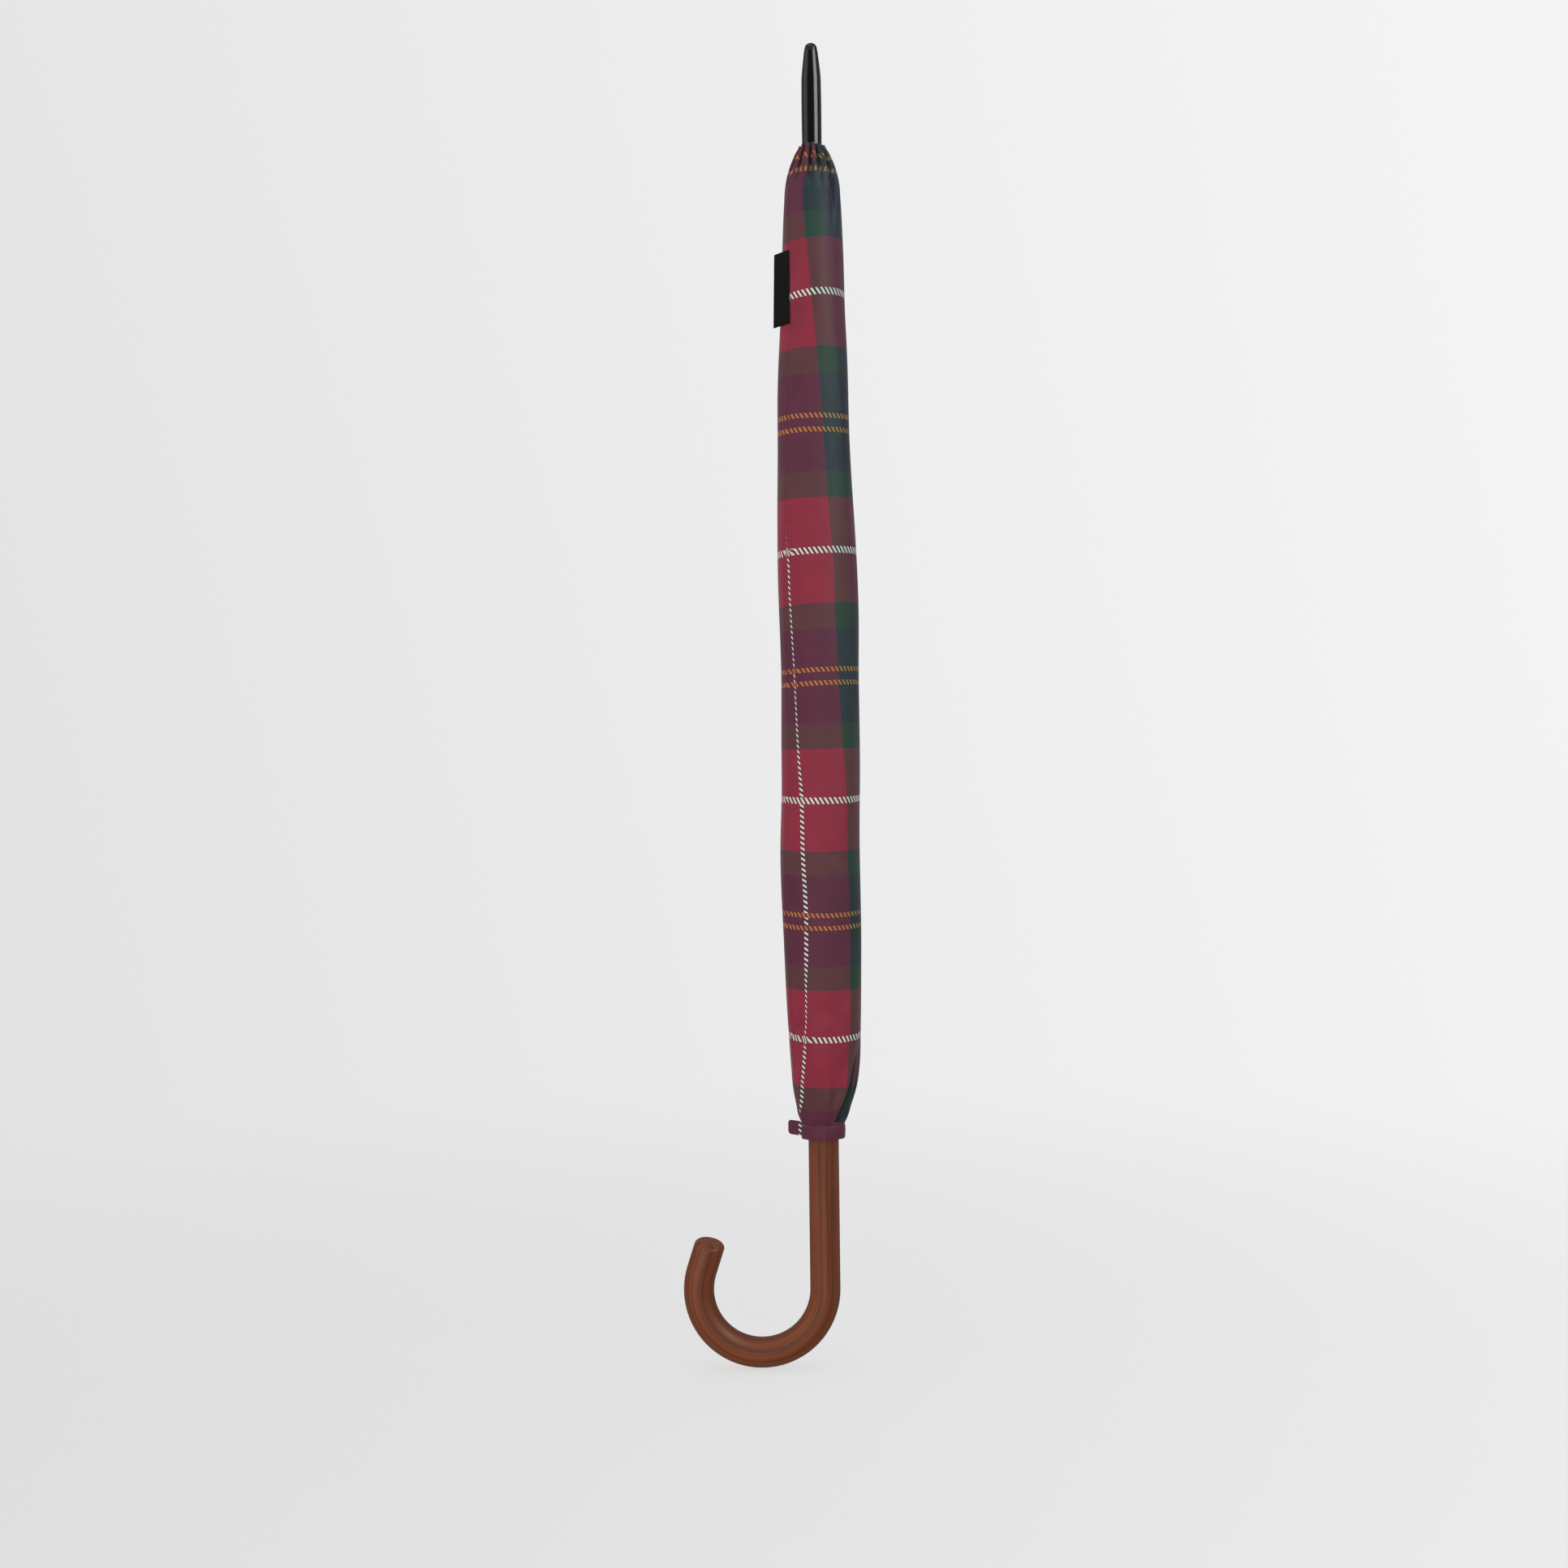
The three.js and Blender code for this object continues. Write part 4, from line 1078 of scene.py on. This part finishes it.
def make_gore(number, material):
    joint = next(j for j in frame["joints"] if j["name"] == f"gore_{number}_fold")
    mid_azimuth = SECTOR / 2 + (number - 1) * SECTOR + SECTOR / 2
    points, uv, share = gore_points(mid_azimuth)
    gore = grid_mesh(f"canopy_gore_{number}", points, uv, material, flip=True)
    weights = fold_weights(points, share, joint)
    rib, fold = f"rib_{number}", f"gore_{number}"
    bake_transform(gore)
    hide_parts(fold)


STRAP_WIDTH, STRAP_CORNER, STRAP_CLOTH = 12 * MM, 3 * MM, 0.65 * MM
STRAP_RADIUS = 23.1  # in mm, from the shaft's axis
STRAP_SAG = 0.25 * MM


def make_tie_strap(material):
    low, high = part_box("tie_strap")
    outward = np.array([math.cos(SECTOR / 2), math.sin(SECTOR / 2), 0])
    across = np.array([-outward[1], outward[0], 0])
    height = high.z - low.z
    centre = outward * STRAP_RADIUS * MM + np.array([0, 0, (low.z + high.z) / 2])
    outline = rounded_outline(STRAP_WIDTH, height, STRAP_CORNER)

    def place(x, up, out):
        sag = STRAP_SAG * math.sin(up * 90)
        return centre + across * x + outward * (out + sag * 0.4) + np.array([0, 0, up])

    strap = pillow_plate("canopy_strap", outline, STRAP_CLOTH, place, material)
    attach(strap, "rib_1")
    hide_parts("tie_strap")


CROWN_SIDES = 72


def make_crown(material):
    """The round of cloth between the canopy and its cap."""
    low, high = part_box("canopy_washer")
    outer, middle, half = high.x, (low.z + high.z) / 2, (high.z - low.z) / 2
    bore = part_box("shaft_tube")[1].x + 0.4 * MM
    inner, rim = outer * 0.75, outer - 0.3 * MM
    section = [(bore, -0.8), (inner, -0.9), (rim, -0.8), (outer, -0.2), (outer, 0.3)]
    section += [(rim, 0.8), (inner, 1.0), (bore, 0.9), (bore, 0), (bore, -0.8)]
    turn = np.linspace(0, TURN, CROWN_SIDES + 1)
    rings = [[(r * math.cos(a), r * math.sin(a), middle + k * half) for a in turn[:-1]] for r, k in section]
    uv = [[(r * math.cos(a), r * math.sin(a)) for a in turn] for r, _ in section]
    crown = grid_mesh("cloth_crown", np.array(rings), np.array(uv), material, around=True)
    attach(crown, "shaft")
    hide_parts("canopy_washer")


def make_canopy():
    cloth = tartan("canopy_tartan", 0.95)
    make_crown(cloth)
    for number in range(1, RIB_COUNT + 1):
        make_gore(number, cloth)
    make_tie_strap(cloth)


# ---- frame parts from the CAD


def smooth_by_angle():
    """A modifier that shades a faceted solid smooth except at its real edges."""
    tree = bpy.data.node_groups.new("smooth_by_angle", "GeometryNodeTree")
    tree.interface.new_socket("Geometry", in_out="INPUT", socket_type="NodeSocketGeometry")
    tree.interface.new_socket("Geometry", in_out="OUTPUT", socket_type="NodeSocketGeometry")
    graph = Graph(tree)
    start = graph.node("NodeGroupInput").outputs[0]
    faces = graph.node("GeometryNodeSetShadeSmooth", {"domain": "FACE"}, Geometry=start)
    angle = graph.node("GeometryNodeInputMeshEdgeAngle").outputs[0]
    sharp = graph.math("GREATER_THAN", angle, math.radians(32))
    edges = graph.node("GeometryNodeSetShadeSmooth", {"domain": "EDGE"})
    graph.link(faces.outputs[0], edges.inputs["Geometry"])
    graph.link(sharp, edges.inputs["Selection"])
    edges.inputs["Shade Smooth"].default_value = False
    graph.link(edges.outputs[0], graph.node("NodeGroupOutput").inputs[0])
    return tree


def finish_frame_parts():
    finishes = {
        "steel_tube": hard_surface("brushed_tube", (0.5, 0.51, 0.53), 1.0, 0.22, 0.4),
        "black_steel": hard_surface("blacked_steel", (0.03, 0.031, 0.033), 0.85, 0.35, 0.5),
        "bright_steel": hard_surface("bright_wire", (0.44, 0.45, 0.47), 1.0, 0.24, 0.36),
        "black_gloss": hard_surface("glossy_cap", (0.008, 0.008, 0.009), 0.0, 0.15, 0.25),
        "black_plastic": hard_surface("moulded_plastic", (0.012, 0.012, 0.013), 0.0, 0.4, 0.55, 600),
    }
    smooth = smooth_by_angle()
    slots = {part["node"]: part["material_slot"] for part in frame["record"]["subparts"]}
    for name, part in frame["nodes"].items():
        if part.hide_render:
            continue
        part.data.materials.clear()
        part.data.materials.append(finishes[slots[name]])
        bevel = part.modifiers.new("worn_edges", "BEVEL")
        bevel.width = 0.12 * MM
        bevel.segments = 2
        bevel.limit_method = "ANGLE"
        bevel.angle_limit = math.radians(40)
        shading = part.modifiers.new("shading", "NODES")
        shading.node_group = smooth


# ---- everything

bpy.context.scene.view_settings.view_transform = "Standard"
make_camera()
make_world()
make_lights()
make_floor()
make_handle()
make_ferrule()
make_carry_sleeve()
make_canopy()
finish_frame_parts()
